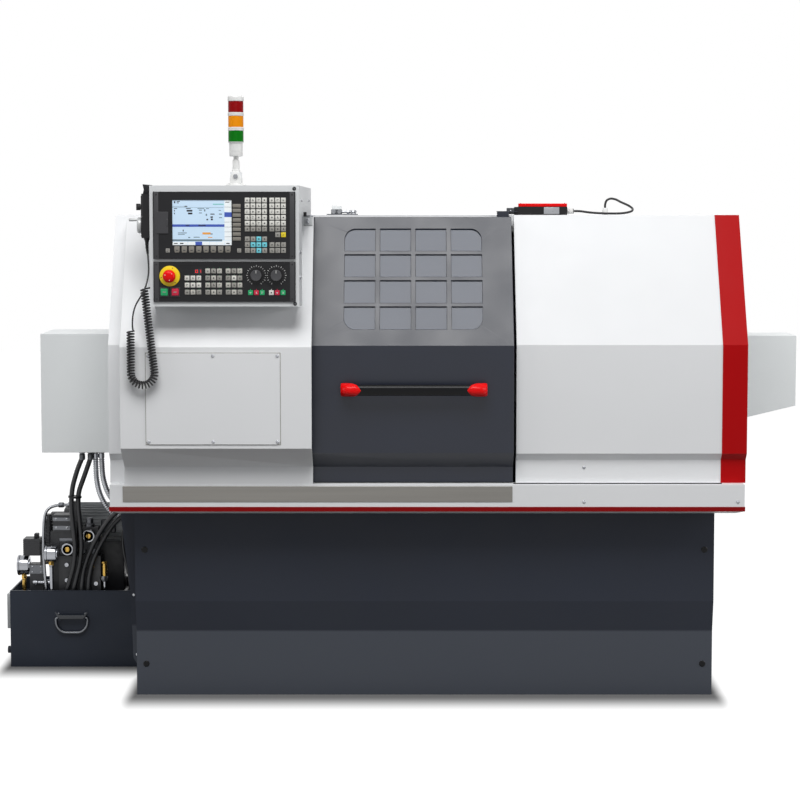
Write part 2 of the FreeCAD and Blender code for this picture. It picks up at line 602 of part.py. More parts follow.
def make_door_panel():
    sheet = prism("door_sheet", "YZ", folded_sheet(DOOR_LINE, s.skin, s.door_flange_back), s.door_left,
                  s.door_right)
    left = prism("door_left_edge", "YZ", folded_sheet(DOOR_LINE[:4], s.edge_return),
                 s.door_left, s.door_left + s.skin)
    right = prism("door_right_edge", "YZ", folded_sheet(DOOR_LINE, s.edge_return),
                  s.door_right - s.skin, s.door_right)
    low = s.pane_low - s.window_edge
    high = s.pane_low + s.pane_pitch_up * 3 + s.pane_height + s.window_edge
    grid_left = s.pane_left - s.window_edge
    grid_right = s.pane_left + s.pane_pitch_across * 3 + s.pane_width + s.window_edge
    grid = prism("window_grid", "YZ", [
        (on_slope(DOOR_LINE, low, s.skin), low),
        (on_slope(DOOR_LINE, high, s.skin), high),
        (on_slope(DOOR_LINE, high, s.skin + s.grid_depth), high),
        (on_slope(DOOR_LINE, low, s.skin + s.grid_depth), low),
    ], grid_left, grid_right)
    hangers = []
    for index, x in enumerate((s.door_left + 70, s.door_right - 130)):
        hangers.append(box(f"hanger_{index}", (x, x + 60), (ROOF_EDGE - s.rail_depth, s.door_flange_back),
                           (s.rail_top + s.clearance, s.door_top - s.skin)))
    whole = fuse("door_whole", sheet, left, right, grid, *hangers)
    reach = (s.door_front - 10, s.door_flange_back)
    panes = []
    for row in range(4):
        for column in range(4):
            x = s.pane_left + s.pane_pitch_across * column
            z = s.pane_low + s.pane_pitch_up * row
            panes.append(box(f"pane_{row}_{column}", (x, x + s.pane_width), reach, (z, z + s.pane_height)))
    field = prism("pane_field", "XZ", [
        (s.pane_left, s.pane_low),
        (grid_right - s.window_edge, s.pane_low),
        (grid_right - s.window_edge, high - s.window_edge),
        (s.pane_left, high - s.window_edge),
    ], *reach)
    round_edges(field, s.pane_corner, lambda edge: runs_along(edge, Vector(0, 1, 0)))
    openings = common("pane_openings", fuse("panes", *panes), field)
    panel = cut("door_panel_cut", whole, openings)
    bracket_left = s.door_right - 43
    post = box("tongue_post", (bracket_left, s.door_right - 6), (ROOF_EDGE - 18, ROOF_EDGE - 5),
               (s.door_top - s.skin, s.roof + 12))
    tongue = box("tongue", (bracket_left, s.switch_left + s.tongue_engage),
                 (ROOF_EDGE - 5, s.switch_front + s.switch_depth / 2),
                 (s.roof + 12 - s.tongue_thickness, s.roof + 12))
    node(fuse("door_panel", panel, post, tongue), "door_panel")

    behind = s.skin + s.grid_depth
    node(prism("door_window", "YZ", [
        (on_slope(DOOR_LINE, low, behind), low),
        (on_slope(DOOR_LINE, high, behind), high),
        (on_slope(DOOR_LINE, high, behind + s.window_thickness), high),
        (on_slope(DOOR_LINE, low, behind + s.window_thickness), low),
    ], grid_left, grid_right), "door_window")


def make_door_handle():
    half = s.handle_bar_height / 2
    far = s.door_front - s.handle_reach
    inner_left = s.handle_left + s.handle_end_length
    inner_right = s.handle_right - s.handle_end_length
    bar = prism("door_handle", "YZ", [
        (far + 4, s.handle_middle - half),
        (far + 4 + s.handle_bar_depth, s.handle_middle - half),
        (far + 4 + s.handle_bar_depth, s.handle_middle + half),
        (far + 4, s.handle_middle + half),
    ], inner_left, inner_right)
    round_edges(bar, s.handle_bar_depth * 0.35, lambda edge: runs_along(edge, Vector(1, 0, 0)))
    node(bar, "door_handle")
    tall = s.handle_end_height / 2
    ends = []
    for side, outer, inner in (("left", s.handle_left, inner_left), ("right", s.handle_right, inner_right)):
        slope = 9 if side == "left" else -9
        end = prism(f"handle_end_{side}", "XZ", [
            (outer, s.handle_middle - tall + 8),
            (outer + slope, s.handle_middle - tall),
            (inner, s.handle_middle - half),
            (inner, s.handle_middle + half),
            (outer + slope, s.handle_middle + tall),
            (outer, s.handle_middle + tall - 8),
        ], far, s.door_front)
        round_edges(end, 6, lambda edge: max(v.Point.y for v in edge.Vertexes) < far.value + 1)
        ends.append(end)
    node(group("handle_ends", *ends), "handle_ends")


# ---------------------------------------------------------------- interlock


def make_interlock_switch():
    right = s.switch_left + s.switch_length
    deep = (s.switch_front, s.switch_front + s.switch_depth)
    case = box("switch_case", (s.switch_left, right), deep, (s.roof, s.roof + s.switch_height))
    cap = box("switch_cap", (s.switch_left + 13, right - 1), (deep[0] + 3, deep[1] - 3),
              (s.roof + s.switch_height, s.roof + s.switch_height + s.switch_cap))
    gland = rod("switch_gland", "X", (right, s.switch_front + s.switch_depth / 2, s.roof + 12),
                s.gland_radius,
                s.gland_length)
    spare = s.clearance * 2
    slot = box("switch_slot", (s.switch_left - 1, s.switch_left + s.tongue_engage + 3),
               (s.switch_front - 1, s.switch_front + s.switch_depth / 2 + spare),
               (s.roof + 12 - s.tongue_thickness - spare, s.roof + 12 + spare))
    node(cut("interlock_switch", fuse("switch_whole", case, cap, gland), slot), "interlock_switch")


# ---------------------------------------------------------------- cables, hoses and pipes


def route_wire(points):
    """Straight runs joined by tangent arcs as large as the runs allow; also the least radius."""
    points = [Vector(*point) for point in points]
    edges, radii = [], []
    here = points[0]
    for before, corner, after in zip(points, points[1:], points[2:]):
        to_corner, from_corner = corner - before, after - corner
        half_turn = to_corner.getAngle(from_corner) / 2
        setback = 0.45 * min(to_corner.Length, from_corner.Length)
        radii.append(setback / math.tan(half_turn))
        into, out = Vector(to_corner).normalize(), Vector(from_corner).normalize()
        start, end = corner - into * setback, corner + out * setback
        middle_way = Vector(out - into).normalize()
        sag = radii[-1] / math.cos(half_turn) - radii[-1]
        edges += [Part.LineSegment(here, start).toShape(),
                  Part.Arc(start, corner + middle_way * sag, end).toShape()]
        here = end
    edges.append(Part.LineSegment(here, points[-1]).toShape())
    return Part.Wire(edges), min(radii)


def sweep(wire, radius):
    """A round tube along a wire."""
    first = wire.Edges[0]
    start = first.valueAt(first.FirstParameter)
    way = first.tangentAt(first.FirstParameter)
    circle = Part.Wire([Part.makeCircle(radius, start, way)])
    return wire.makePipeShell([circle], True, False)


def tube(name, points, diameter):
    """A cable, hose or pipe held at both ends, along its route."""
    wire, least = route_wire(points)
    solid = sweep(wire, diameter.value / 2)
    ratio = solid.Volume / (math.pi * diameter.value ** 2 / 4 * wire.Length)
    print(f"{name}: length {wire.Length:.0f}, least radius {least:.0f}, volume ratio {ratio:.3f}")
    item = DOC.addObject("Part::Feature", name)
    item.Shape = solid
    item.Placement = Placement()
    return item


def make_interlock_cable():
    y = (s.switch_front + s.switch_depth / 2).value
    start = (s.switch_left + s.switch_length + s.gland_length).value
    level = (s.roof + 12).value
    end_x, end_y = s.roof_gland_at.value, (s.switch_front + 100).value
    end_z = (s.roof + s.gland_length).value
    node(tube("interlock_cable", [
        (start, y, level), (start + 20, y, level), (start + 54, y - 1, level - 5),
        (start + 100, y - 1, level - 7.5), (start + 144, y, level - 7.5), (start + 168, y + 4, level - 5),
        (start + 186, y + 18, level), (start + 190, y + 38, level + 8), (start + 178, y + 58, level + 18),
        (start + 154, end_y - 8, level + 29), (end_x + 34, end_y - 1, end_z + 28),
        (end_x + 17, end_y, end_z + 31), (end_x + 4, end_y, end_z + 25), (end_x, end_y, end_z + 12),
        (end_x, end_y, end_z),
    ], s.interlock_cable_diameter), "interlock_cable")


# ---------------------------------------------------------------- hydraulic unit


def make_tank():
    right = s.base_left - s.clearance
    deep = (s.tank_front, s.tank_back)
    wall = s.tank_wall
    inside = ((s.tank_left + wall, right - wall), (s.tank_front + wall, s.tank_back - wall))
    outer = box("tank_outer", (s.tank_left, right), deep, (0, s.tank_high))
    rim = box("tank_rim_space", *inside, (s.deck_high, s.tank_high + 1))
    oil = box("tank_oil_space", *inside, (wall, s.deck_high - s.deck_thickness))
    filler = rod("tank_filler", "Z", (s.filler_at, s.filler_depth, s.deck_high - s.deck_thickness - 1),
                 s.filler_radius, s.deck_thickness + 2)
    gauge = box("level_gauge", (s.tank_left - 12, s.tank_left), (s.tank_front + 70, s.tank_front + 98),
                (117, 233))
    plug = rod("drain_plug", "X", (s.tank_left - 22, s.tank_front + 70, 42), 12, 22)
    half = s.bail_width / 2
    ears, bores = [], []
    for side, sign in (("left", -1), ("right", 1)):
        x = s.bail_at + half * sign - s.bail_radius * 2 * sign
        ears.append(box(f"bail_ear_{side}", (x - 5, x + 5), (s.tank_front - 15, s.tank_front),
                        (s.bail_high - 9, s.bail_high + 9)))
        bores.append(rod(f"bail_bore_{side}", "X", (x - 6, s.tank_front - 8, s.bail_high),
                         s.bail_radius + s.clearance, 12))
    plate = box("bail_plate", (s.bail_at - half, s.bail_at + half), (s.tank_front - 3, s.tank_front),
                (s.bail_high - 5, s.bail_high + 16))
    whole = fuse("tank_whole", cut("tank_shell", outer, rim, oil, filler), gauge, plug, plate, *ears)
    node(cut("hydraulic_tank", whole, *bores), "hydraulic_tank")

    wide, drop = half.value + s.bail_radius.value * 0.5, s.bail_drop.value
    x, y, z = s.bail_at.value, (s.tank_front - 8).value, s.bail_high.value
    seat = half.value - s.bail_radius.value * 2 - 4
    node(tube("tank_bail", [
        (x - seat, y, z), (x - wide - 4, y, z), (x - wide - 1, y, z - drop * 0.6),
        (x - wide * 0.62, y, z - drop),
        (x + wide * 0.62, y, z - drop), (x + wide + 1, y, z - drop * 0.6), (x + wide + 4, y, z),
        (x + seat, y, z),
    ], s.bail_radius * 2), "tank_bail")


def make_pump_unit():
    level, depth = s.pump_height, s.pump_depth
    radius = s.pump_motor_radius
    length = s.pump_motor_right - s.pump_motor_left
    motor = rod("pump_motor", "X", (s.pump_motor_left, depth, level), radius, length)
    fan = rod("motor_fan_cover", "X", (s.pump_motor_right, depth, level), radius - 6, 24)
    bell = rod("pump_bell", "X", (s.pump_motor_left - 22, depth, level), radius * 0.8, 22)
    pump = rod("pump_body", "X", (s.pump_motor_left - 70, depth, level), s.pump_radius, 48)
    foot = box("motor_foot", (s.pump_motor_left + 15, s.pump_motor_right - 15), (depth - 45, depth + 45),
               (s.deck_high, level - radius * 0.7))
    suction = box("suction_leg", (s.pump_motor_left - 62, s.pump_motor_left - 38), (depth - 12, depth + 12),
                  (s.deck_high, level - s.pump_radius * 0.8))
    cap = rod("filler_cap", "Z", (s.filler_at, s.filler_depth, s.deck_high), s.filler_radius + 7, 20)
    unit = fuse("pump_group", motor, fan, bell, pump, foot, suction)
    node(group("oil_pump_unit", unit, cap), "oil_pump_unit")


def make_manifold():
    """Blocks, valves, rings and bolts, placed in steps of a grid from the block's left top edge."""
    front, back, top = s.manifold_front, s.manifold_back, s.manifold_high
    left, right = MANIFOLD_LEFT, MANIFOLD_RIGHT
    step = MANIFOLD_WIDTH / 28

    def piece(name, across, deep, up):
        """A block with its limits in grid steps: across, in from the front and back, and up."""
        return box(name, (left + step * across[0], left + step * across[1]),
                   (front + step * deep[0], back - step * deep[1]),
                   (top + step * up[0], top + step * up[1]))

    deck = (s.deck_high.value - top.value) / step.value
    blocks = [
        box("manifold_block", (left, right), (front, back), (s.deck_high, top)),
        piece("valve_bridge", (-13, 0), (2.8, 2.4), (-6, 8)),
        piece("solenoid", (-24, -13), (1.6, 0.8), (0, 11.3)),
        piece("valve_pedestal", (-20, -11), (2.4, 2), (deck, -6)),
        piece("valve_side", (-5, 0), (3.2, 2), (deck, -6)),
        piece("valve_riser", (0.4, 11.7), (2.4, 1.2), (0, 21.8)),
        piece("valve_link", (-6, 0.4), (3.2, 1.6), (8, 16.1)),
        piece("valve_block", (-3.8, 7.7), (2, 0.8), (16.1, 27.4)),
        piece("relief_block", (13.3, 26), (3.2, 0.8), (0, 18.9)),
        piece("pressure_port", (7.9, 12.3), (5.2, 3.2), (21.8, 36)),
    ]
    spool = rod("valve_spool", "Z", (left - step * 8.25, front + step * 7.25, top + step * 8), step * 2.8,
                step * 19.3)
    rings = []
    for index, (x, proud, z) in enumerate(((6, 1.2, 4.8), (20.3, 0.8, 13.7))):
        rings.append(rod(f"port_ring_{index}", "Y", (left + step * x, front - step * proud, top + step * z),
                         step * 4, step * 4))
    bolts = []
    spots = ((5.4, 13.9), (16.1, 13.9), (5.4, 24.4), (16.1, 24.4), (25, 11.7), (22.6, 22.6))
    for index, (x, z) in enumerate(spots):
        bolts.append(rod(f"manifold_bolt_{index}", "Y",
                         (left + step * x, front - step, s.deck_high + step * z),
                         step * 1.3, step * 1.2))
    node(fuse("valve_manifold", *blocks, spool, *rings, *bolts), "valve_manifold")


def make_gauges():
    radius, thickness = s.gauge_radius, s.gauge_thickness
    dials = []
    spots = ((MANIFOLD_LEFT - 141, s.manifold_front + 34, s.deck_high + 113),
             (MANIFOLD_LEFT - 39, s.manifold_front - 26, s.deck_high + 162))
    for index, (x, y, z) in enumerate(spots):
        size = radius if index == 0 else radius - 5
        dial = turned(f"gauge_{index}", "X", (x, y, z), [
            (0, 2),
            (size - 4, 2),
            (size - 3, 0),
            (size, 0),
            (size, thickness),
            (size * 0.6, thickness),
            (size * 0.6, thickness + 2),
            (0, thickness + 2),
        ])
        stem = rod(f"gauge_stem_{index}", "Z", (x + thickness / 2, y, s.deck_high), 7,
                   z - s.deck_high - size * 0.8)
        dials.append(fuse(f"gauge_set_{index}", dial, stem))
    node(group("pressure_gauges", *dials), "pressure_gauges")


UPRIGHT_LIMIT = 1


def held_tube(name, start, end, bends, diameter):
    """A hose between two ends: each bend is a share of the fall, then steps off the chord in diameters.

    A run that leaves its end almost upright is made quite upright, so that the end sits flat.
    """
    first = [as_size(value).value for value in start]
    last = [as_size(value).value for value in end]
    points = [tuple(first)]
    for share, across, deep in bends:
        x, y, z = [a + (b - a) * share for a, b in zip(first, last)]
        points.append((x + across * diameter.value, y + deep * diameter.value, z))
    points.append(tuple(last))
    for near, end in ((1, 0), (-2, -1)):
        if math.dist(points[near][:2], points[end][:2]) < UPRIGHT_LIMIT:
            points[near] = (*points[end][:2], points[near][2])
    return tube(name, points, diameter)


FRONT_BENDS = [(0.045, 0.17, -0.1), (0.12, -0.54, -0.27), (0.235, -1.17, -0.56), (0.33, -1.06, -0.74),
               (0.41, -0.69, -0.87), (0.525, 0.13, -1), (0.64, 0.84, -1), (0.756, 0.82, -0.66),
               (0.86, 0.16, -0.08), (0.93, -0.27, 0.16)]
SECOND_BENDS = [(0.05, 0.18, -0.09), (0.177, -0.69, -0.38), (0.275, -1.44, -0.67), (0.385, -1.01, -0.88),
                (0.477, -0.31, -0.97), (0.56, 0.22, -1.01), (0.64, 0.62, -0.95), (0.733, 0.6, -0.67),
                (0.837, 0.1, -0.2), (0.93, -0.29, 0.12)]
RETURN_BENDS = [(0, -2.25, 0), (0.027, -4.86, -0.09), (0.12, -6.24, -0.3), (0.27, -6.41, -0.36),
                (0.42, -5.96, -0.26), (0.56, -5.21, -0.09), (0.7, -4.03, 0.08), (0.87, -1.91, 0.12)]
SUPPLY_BENDS = [(0, -2.12, 0), (0.026, -4.56, -0.06), (0.117, -5.85, -0.18), (0.27, -5.91, -0.23),
                (0.42, -5.53, -0.22), (0.56, -4.86, -0.15), (0.71, -3.61, -0.08), (0.866, -1.78, -0.01)]
THIN_LEFT_BENDS = [(0.048, 0.24, 0.18), (0.101, -0.4, 0.18), (0.164, -1.88, -0.08), (0.239, -3.7, -0.49),
                   (0.334, -5.13, -0.93), (0.446, -5.37, -1.11), (0.568, -4.36, -1.04),
                   (0.69, -2.75, -0.88), (0.806, -1.27, -0.64), (0.907, -0.46, -0.35)]
THIN_RIGHT_BENDS = [(0.053, 0.2, 0.27), (0.111, -0.28, 0.27), (0.18, -1.42, 0.02), (0.265, -2.59, -0.25),
                    (0.366, -3.21, -0.53), (0.477, -3.09, -0.77), (0.599, -2.32, -0.95),
                    (0.721, -1.46, -0.92), (0.838, -0.72, -0.73), (0.928, -0.27, -0.37)]
OUTER_BENDS = [(0.213, -2.03, -0.61), (0.419, -3.83, -1.09), (0.612, -5.09, -1.21), (0.787, -5.5, -0.97),
               (0.915, -4.9, -0.6), (0.984, -3.22, -0.22), (1, -1.47, 0)]
INNER_BENDS = [(0.234, -1.99, -0.67), (0.411, -3.26, -1.06), (0.594, -4.2, -1.16), (0.766, -4.5, -0.91),
               (0.906, -4.2, -0.57), (0.983, -2.87, -0.21), (1, -1.47, 0)]
PIPE_BENDS = [(0, -2.8, 0), (0.003, -5.28, -0.39), (0.029, -7.47, -1.26), (0.105, -7.96, -1.99),
              (0.28, -6.76, -2.03), (0.47, -5.14, -1.8), (0.64, -3.48, -1.46), (0.79, -1.88, -0.98),
              (0.9, -0.8, -0.49)]


def make_hoses():
    deck, low = s.deck_high, SPINDLE_BOX_LOW - s.conduit_flange_thickness
    wall, under = s.base_left, s.base_top
    fat, thin = s.hose_diameter, s.thin_hose_diameter
    flange, axis = s.conduit_flange_left, s.axis_depth
    left, face = MANIFOLD_LEFT, s.manifold_front - fat * 1.31
    hoses = [
        held_tube("hose_front", (flange + fat * 0.94, axis + fat * 0.63, low),
                  (left + fat * 1.75, face, deck),
                  FRONT_BENDS, fat),
        held_tube("hose_second", (flange + fat * 2.56, axis + fat * 1.13, low),
                  (left + fat * 3.13, face, deck),
                  SECOND_BENDS, fat),
        held_tube("hose_return", (wall, axis + fat * 1.88, under - fat * 2.81),
                  (left + fat * 4.88, face, deck),
                  RETURN_BENDS, fat),
        held_tube("hose_supply", (wall, axis + fat * 3, under - fat * 4.38),
                  (left + fat * 6.25, face + 2, deck),
                  SUPPLY_BENDS, fat),
        held_tube("hose_thin_left", (wall - thin * 2.7, axis + thin * 11.2, under),
                  (wall - thin * 7.7, axis + thin * 7.4, deck), THIN_LEFT_BENDS, thin),
        held_tube("hose_thin_right", (wall - thin * 1.3, axis + thin * 13.2, under),
                  (wall - thin * 5.1, axis + thin * 8.1, deck), THIN_RIGHT_BENDS, thin),
    ]
    node(group("hydraulic_hoses", *hoses), "hydraulic_hoses")


def make_conduits():
    low = SPINDLE_BOX_LOW - s.conduit_flange_thickness
    size, axis = s.conduit_diameter, s.axis_depth
    conduits = []
    for name, along, fall, bends in (("conduit_outer", 2.95, 6.63, OUTER_BENDS),
                                     ("conduit_inner", 3.974, 5.42, INNER_BENDS)):
        conduits.append(held_tube(name, (s.conduit_flange_left + size * along, axis + size * 1.47, low),
                                  (s.base_left, axis + size * 4.32, s.base_top - size * fall), bends, size))
    thin, step = s.pipe_diameter, MANIFOLD_WIDTH / 28
    pipe = held_tube("pressure_pipe", (MANIFOLD_LEFT + step * 7.9, s.manifold_front + thin * 3.8,
                                       s.manifold_high + step * 33.4),
                     (MANIFOLD_LEFT - thin * 4.1, s.manifold_front - thin * 1.1, s.deck_high), PIPE_BENDS,
                     thin)
    node(group("metal_conduits", *conduits, pipe), "metal_conduits")


# ---------------------------------------------------------------- control box


def make_panel_box():
    lean_low = on_slope(HOOD_LINE, s.box_low, -s.clearance)
    meet_lean = s.fold + (s.box_back - s.hood_front) * (s.roof - s.fold) / (s.hood_top_front - s.hood_front)
    side = prism("panel_side_view", "YZ", [
        (s.box_front, s.box_low),
        (lean_low, s.box_low),
        (s.box_back, meet_lean),
        (s.box_back, s.box_back_high),
        (s.box_front, s.box_high),
    ], s.box_left, s.box_right + s.box_flare)
    plan = prism("panel_plan_view", "XY", [
        (s.box_left, s.box_front),
        (s.box_right, s.box_front),
        (s.box_right + s.box_flare, s.box_back),
        (s.box_left, s.box_back),
    ], s.box_low, s.box_high)
    cavity = box("panel_cavity", (s.box_left + s.box_frame, s.box_right - s.box_frame),
                 (s.box_front - 1, s.box_front + s.box_cavity),
                 (s.box_low + s.box_frame, s.box_high - s.box_frame * 1.5))
    step = box("panel_step", (s.box_right - s.box_step, s.box_right + s.box_flare + 1),
               (s.box_front + s.box_rim, s.box_back + 1), (s.box_low - 1, s.roof))
    holder = box("pendant_holder", (s.box_left - s.holder_thickness, s.box_left),
                 (s.pendant_front + 10, s.pendant_front + s.pendant_depth - 10),
                 (s.pendant_low + 20, s.pendant_low + s.pendant_height + 22))
    foot = rod("tower_foot", "Z", (s.tower_at, s.tower_depth, s.box_back_high), s.tower_foot_radius,
               s.box_high - s.box_back_high + s.tower_foot_height)
    pivot = s.box_high + s.pivot_rise
    inner = s.pivot_block / 2 + s.clearance
    ears = []
    for side_name, low in (("front", s.tower_depth - inner - s.ear_thickness),
                           ("back", s.tower_depth + inner)):
        ears.append(box(f"tower_ear_{side_name}", (s.tower_at - s.ear_width / 2,
                                                   s.tower_at + s.ear_width / 2),
                        (low, low + s.ear_thickness), (s.box_high, s.box_high + s.ear_height)))
    pin = rod("tower_pin", "Y", (s.tower_at, s.tower_depth - inner - s.ear_thickness - 2, pivot),
              s.pivot_radius,
              (inner + s.ear_thickness + 2) * 2)
    bar = box("panel_cross_bar", (s.box_left + s.box_frame, s.box_right - s.box_frame),
              (s.box_front, s.box_front + s.box_frame), (s.lower_plate_high - s.cross_bar_lap,
                                                         s.upper_plate_low + s.cross_bar_lap))
    hollow = cut("panel_hollow", common("panel_outer", side, plan), cavity, step)
    node(fuse("panel_box", hollow, bar, holder, foot, pin, *ears), "panel_box")


def make_control_panels():
    front = s.box_front - s.plate_thickness
    left, right = s.box_left + s.plate_inset, s.box_right - s.plate_inset
    upper = box("upper_plate", (left, right), (front, s.box_front), (s.upper_plate_low, s.upper_plate_high))
    recess = box("screen_recess", (s.screen_left, s.screen_right), (front - 1, front + s.screen_recess),
                 (s.screen_low, s.screen_high))
    lower = box("lower_plate", (left, right), (front, s.box_front), (s.lower_plate_low, s.lower_plate_high))
    collar = turned("stop_collar", "Y", (s.stop_at, front - s.collar_height, s.stop_row), [
        (0, 0),
        (s.collar_radius * 0.7, 0),
        (s.collar_radius, s.collar_height * 0.6),
        (s.collar_radius, s.collar_height),
        (0, s.collar_height),
    ])
    spare = s.clearance * 2
    deep = s.plate_thickness + s.collar_height + 2
    tools = [rod("stop_bore", "Y", (s.stop_at, front - s.collar_height - 1, s.stop_row),
                 s.stem_radius + spare, deep)]
    half = s.push_side / 2 + spare
    for name, x in (("start", s.start_at), ("halt", s.halt_at)):
        tools.append(box(f"{name}_hole", (x - half, x + half), (front - 1, s.box_front + 1),
                         (s.push_row - half, s.push_row + half)))
    for name, x in (("feed", s.feed_at), ("override", s.override_at)):
        tools.append(rod(f"{name}_bore", "Y", (x, front - 1, s.dial_row), s.dial_stem + s.clearance,
                         s.plate_thickness + 2))
    panel = cut("lower_panel", fuse("lower_whole", lower, collar), *tools)
    node(group("control_panels", cut("upper_panel", upper, recess), panel), "control_panels")
    glass = front + s.screen_recess
    node(box("screen", (s.screen_left, s.screen_right), (glass - 2, glass),
             (s.screen_low, s.screen_high)), "screen")


def key_block(name, left, top, pitch, rows, columns, side=None, row_pitch=None, skipped=()):
    """A field of film keys: the left column's middle, the top row's middle, and how far apart they lie."""
    wide, high = side or (s.key_side, s.key_side)
    face = s.box_front - s.plate_thickness
    keys = []
    for row in range(rows):
        for column in range(columns):
            if (row, column) in skipped:
                continue
            x = left + pitch * column
            z = top - (row_pitch or pitch) * row
            keys.append(box(f"{name}_{row}_{column}", (x - wide / 2, x + wide / 2),
                            (face - s.key_height, face),
                            (z - high / 2, z + high / 2)))
    return keys


def make_panel_keys():
    pitch = s.key_pitch
    keys = key_block("letter_key", s.key_block_left, s.key_top_row, pitch, 6, 4)
    keys += key_block("number_key", s.key_block_right, s.key_top_row, pitch, 7, 3, skipped={(6, 0)})
    keys += key_block("cursor_key", s.key_block_left, s.cursor_row, pitch, 3, 4)
    keys += key_block("menu_key", s.key_block_right, s.cursor_row - pitch, pitch, 2, 3)
    keys += key_block("side_softkey", s.softkey_at, s.softkey_top, s.softkey_pitch, 8, 1,
                      (s.softkey_width, s.softkey_height))
    keys += key_block("foot_softkey", s.foot_key_left, s.foot_key_row, s.foot_key_pitch, 1, 8,
                      (s.foot_key_width, s.foot_key_height))
    keys += key_block("corner_key", s.foot_key_left - 27, s.cursor_row - pitch * 2, 210, 1, 2,
                      (s.foot_key_width - 4, s.foot_key_width - 4))
    across, down = s.machine_key_pitch, s.machine_row_pitch
    keys += key_block("mode_left", s.machine_keys_left, s.machine_key_top - down, across, 3, 3,
                      row_pitch=down)
    keys += key_block("mode_middle", s.machine_keys_middle, s.machine_key_top, across, 4, 3, row_pitch=down)
    keys += key_block("mode_right", s.machine_keys_right, s.machine_key_top, across, 4, 3, row_pitch=down)
    keys += key_block("drive_left", s.mode_keys_left, s.mode_key_row, across, 1, 3)
    keys += key_block("drive_right", s.mode_keys_right, s.mode_key_row, across, 1, 3)
    node(group("panel_keys", *keys), "panel_keys")


def make_buttons():
    face = s.box_front - s.plate_thickness
    under_cap = face - s.collar_height - s.mushroom_lift
    radius = s.mushroom_radius
    node(turned("estop_button", "Y", (s.stop_at, under_cap - s.mushroom_height, s.stop_row), [
        (0, 0),
        (radius * 0.6, 0),
        (radius * 0.92, s.mushroom_height * 0.25),
        (radius, s.mushroom_height * 0.6),
        (radius, s.mushroom_height),
        (s.stem_radius, s.mushroom_height),
        (s.stem_radius, s.mushroom_height + s.mushroom_lift + s.collar_height + 1),
        (0, s.mushroom_height + s.mushroom_lift + s.collar_height + 1),
    ]), "estop_button")
    half = s.push_side / 2
    for name, x in (("start_button", s.start_at), ("stop_button", s.halt_at)):
        button = prism(name, "XZ", [
            (x - half, s.push_row - half),
            (x + half, s.push_row - half),
            (x + half, s.push_row + half),
            (x - half, s.push_row + half),
        ], face - s.push_height, face + s.plate_thickness / 2)
        node(round_edges(button, 1.5, lambda edge: runs_along(edge, Vector(0, 1, 0))), name)
    for name, x in (("feed_dial", s.feed_at), ("spindle_dial", s.override_at)):
        knob = turned(name + "_knob", "Y", (x, face - s.dial_height - s.clearance, s.dial_row), [
            (0, 0),
            (s.dial_radius * 0.88, 0),
            (s.dial_radius, s.dial_height * 0.3),
            (s.dial_radius, s.dial_height),
            (s.dial_stem, s.dial_height),
            (s.dial_stem, s.dial_height + s.plate_thickness),
            (0, s.dial_height + s.plate_thickness),
        ])
        mark = box(name + "_mark", (x - 1, x + 1), (face - s.dial_height - 2, face - s.dial_height + 2),
                   (s.dial_row + s.dial_radius * 0.35, s.dial_row + s.dial_radius + 2))
        node(cut(name, knob, mark), name)
    flap_front = face - s.clearance - s.flap_thickness
    flap = box("port_flap_leaf", (s.flap_left, s.flap_left + s.flap_width),
               (flap_front, face - s.clearance),
               (s.flap_low, s.flap_low + s.flap_height))
    grip = box("port_flap_grip", (s.flap_left + s.flap_width - 5, s.flap_left + s.flap_width),
               (flap_front - 1.5, flap_front), (s.flap_low + 22, s.flap_low + s.flap_height - 22))
    node(fuse("port_flap", flap, grip), "port_flap")


# ---------------------------------------------------------------- hand pendant with its curly cord


def make_pendant():
    back = s.box_left - s.holder_thickness
    front = back - s.pendant_thickness
    middle = s.pendant_front + s.pendant_depth / 2
    case = prism("pendant_body", "XZ", [
        (front, s.pendant_low),
        (back, s.pendant_low),
        (back, s.pendant_low + s.pendant_height),
        (front, s.pendant_low + s.pendant_height),
    ], s.pendant_front, s.pendant_front + s.pendant_depth)
    round_edges(case, 6, lambda edge: runs_along(edge,
                                                 Vector(0, 0, 1)) and edge.CenterOfMass.x < back.value - 1)
    node(case, "pendant_body")
    start = front - s.clearance - s.wheel_thickness
    wheel = turned("wheel_disc", "X", (start, middle, s.pendant_low + s.wheel_height), [
        (0, 3),
        (s.wheel_radius * 0.75, 3),
        (s.wheel_radius * 0.8, 0),
        (s.wheel_radius, 1.5),
        (s.wheel_radius, s.wheel_thickness - 3),
        (s.wheel_radius - 3, s.wheel_thickness),
        (0, s.wheel_thickness),
    ])
    crank = rod("wheel_crank", "X", (start - s.crank_length, middle,
                                     s.pendant_low + s.wheel_height + s.crank_offset),
                s.crank_radius, s.crank_length + 4)
    node(fuse("pendant_wheel", wheel, crank), "pendant_wheel")
    knob = turned("selector_knob", "X", (front - s.clearance - s.selector_length, middle,
                                         s.pendant_low + s.selector_height), [
        (0, 0),
        (s.selector_radius, 0),
        (s.selector_radius, s.selector_length - 4),
        (s.selector_radius + 3, s.selector_length - 3),
        (s.selector_radius + 3, s.selector_length),
        (0, s.selector_length),
    ])
    fin = box("selector_fin", (front - s.clearance - s.selector_length - 4, front - s.clearance - 6),
              (middle - 2.5, middle + 2.5),
              (s.pendant_low + s.selector_height - 10, s.pendant_low + s.selector_height + 10))
    node(fuse("pendant_knob", knob, fin), "pendant_knob")


def arc_from(start, way, end):
    """The arc that leaves a point along a direction and reaches another point."""
    chord = end - start
    side = chord - way * chord.dot(way)
    side.normalize()
    radius = chord.Length ** 2 / (2 * chord.dot(side))
    centre = start + side * radius
    bulge = ((start + end) * 0.5 - centre).normalize()
    return Part.Arc(start, centre + bulge * radius, end).toShape()


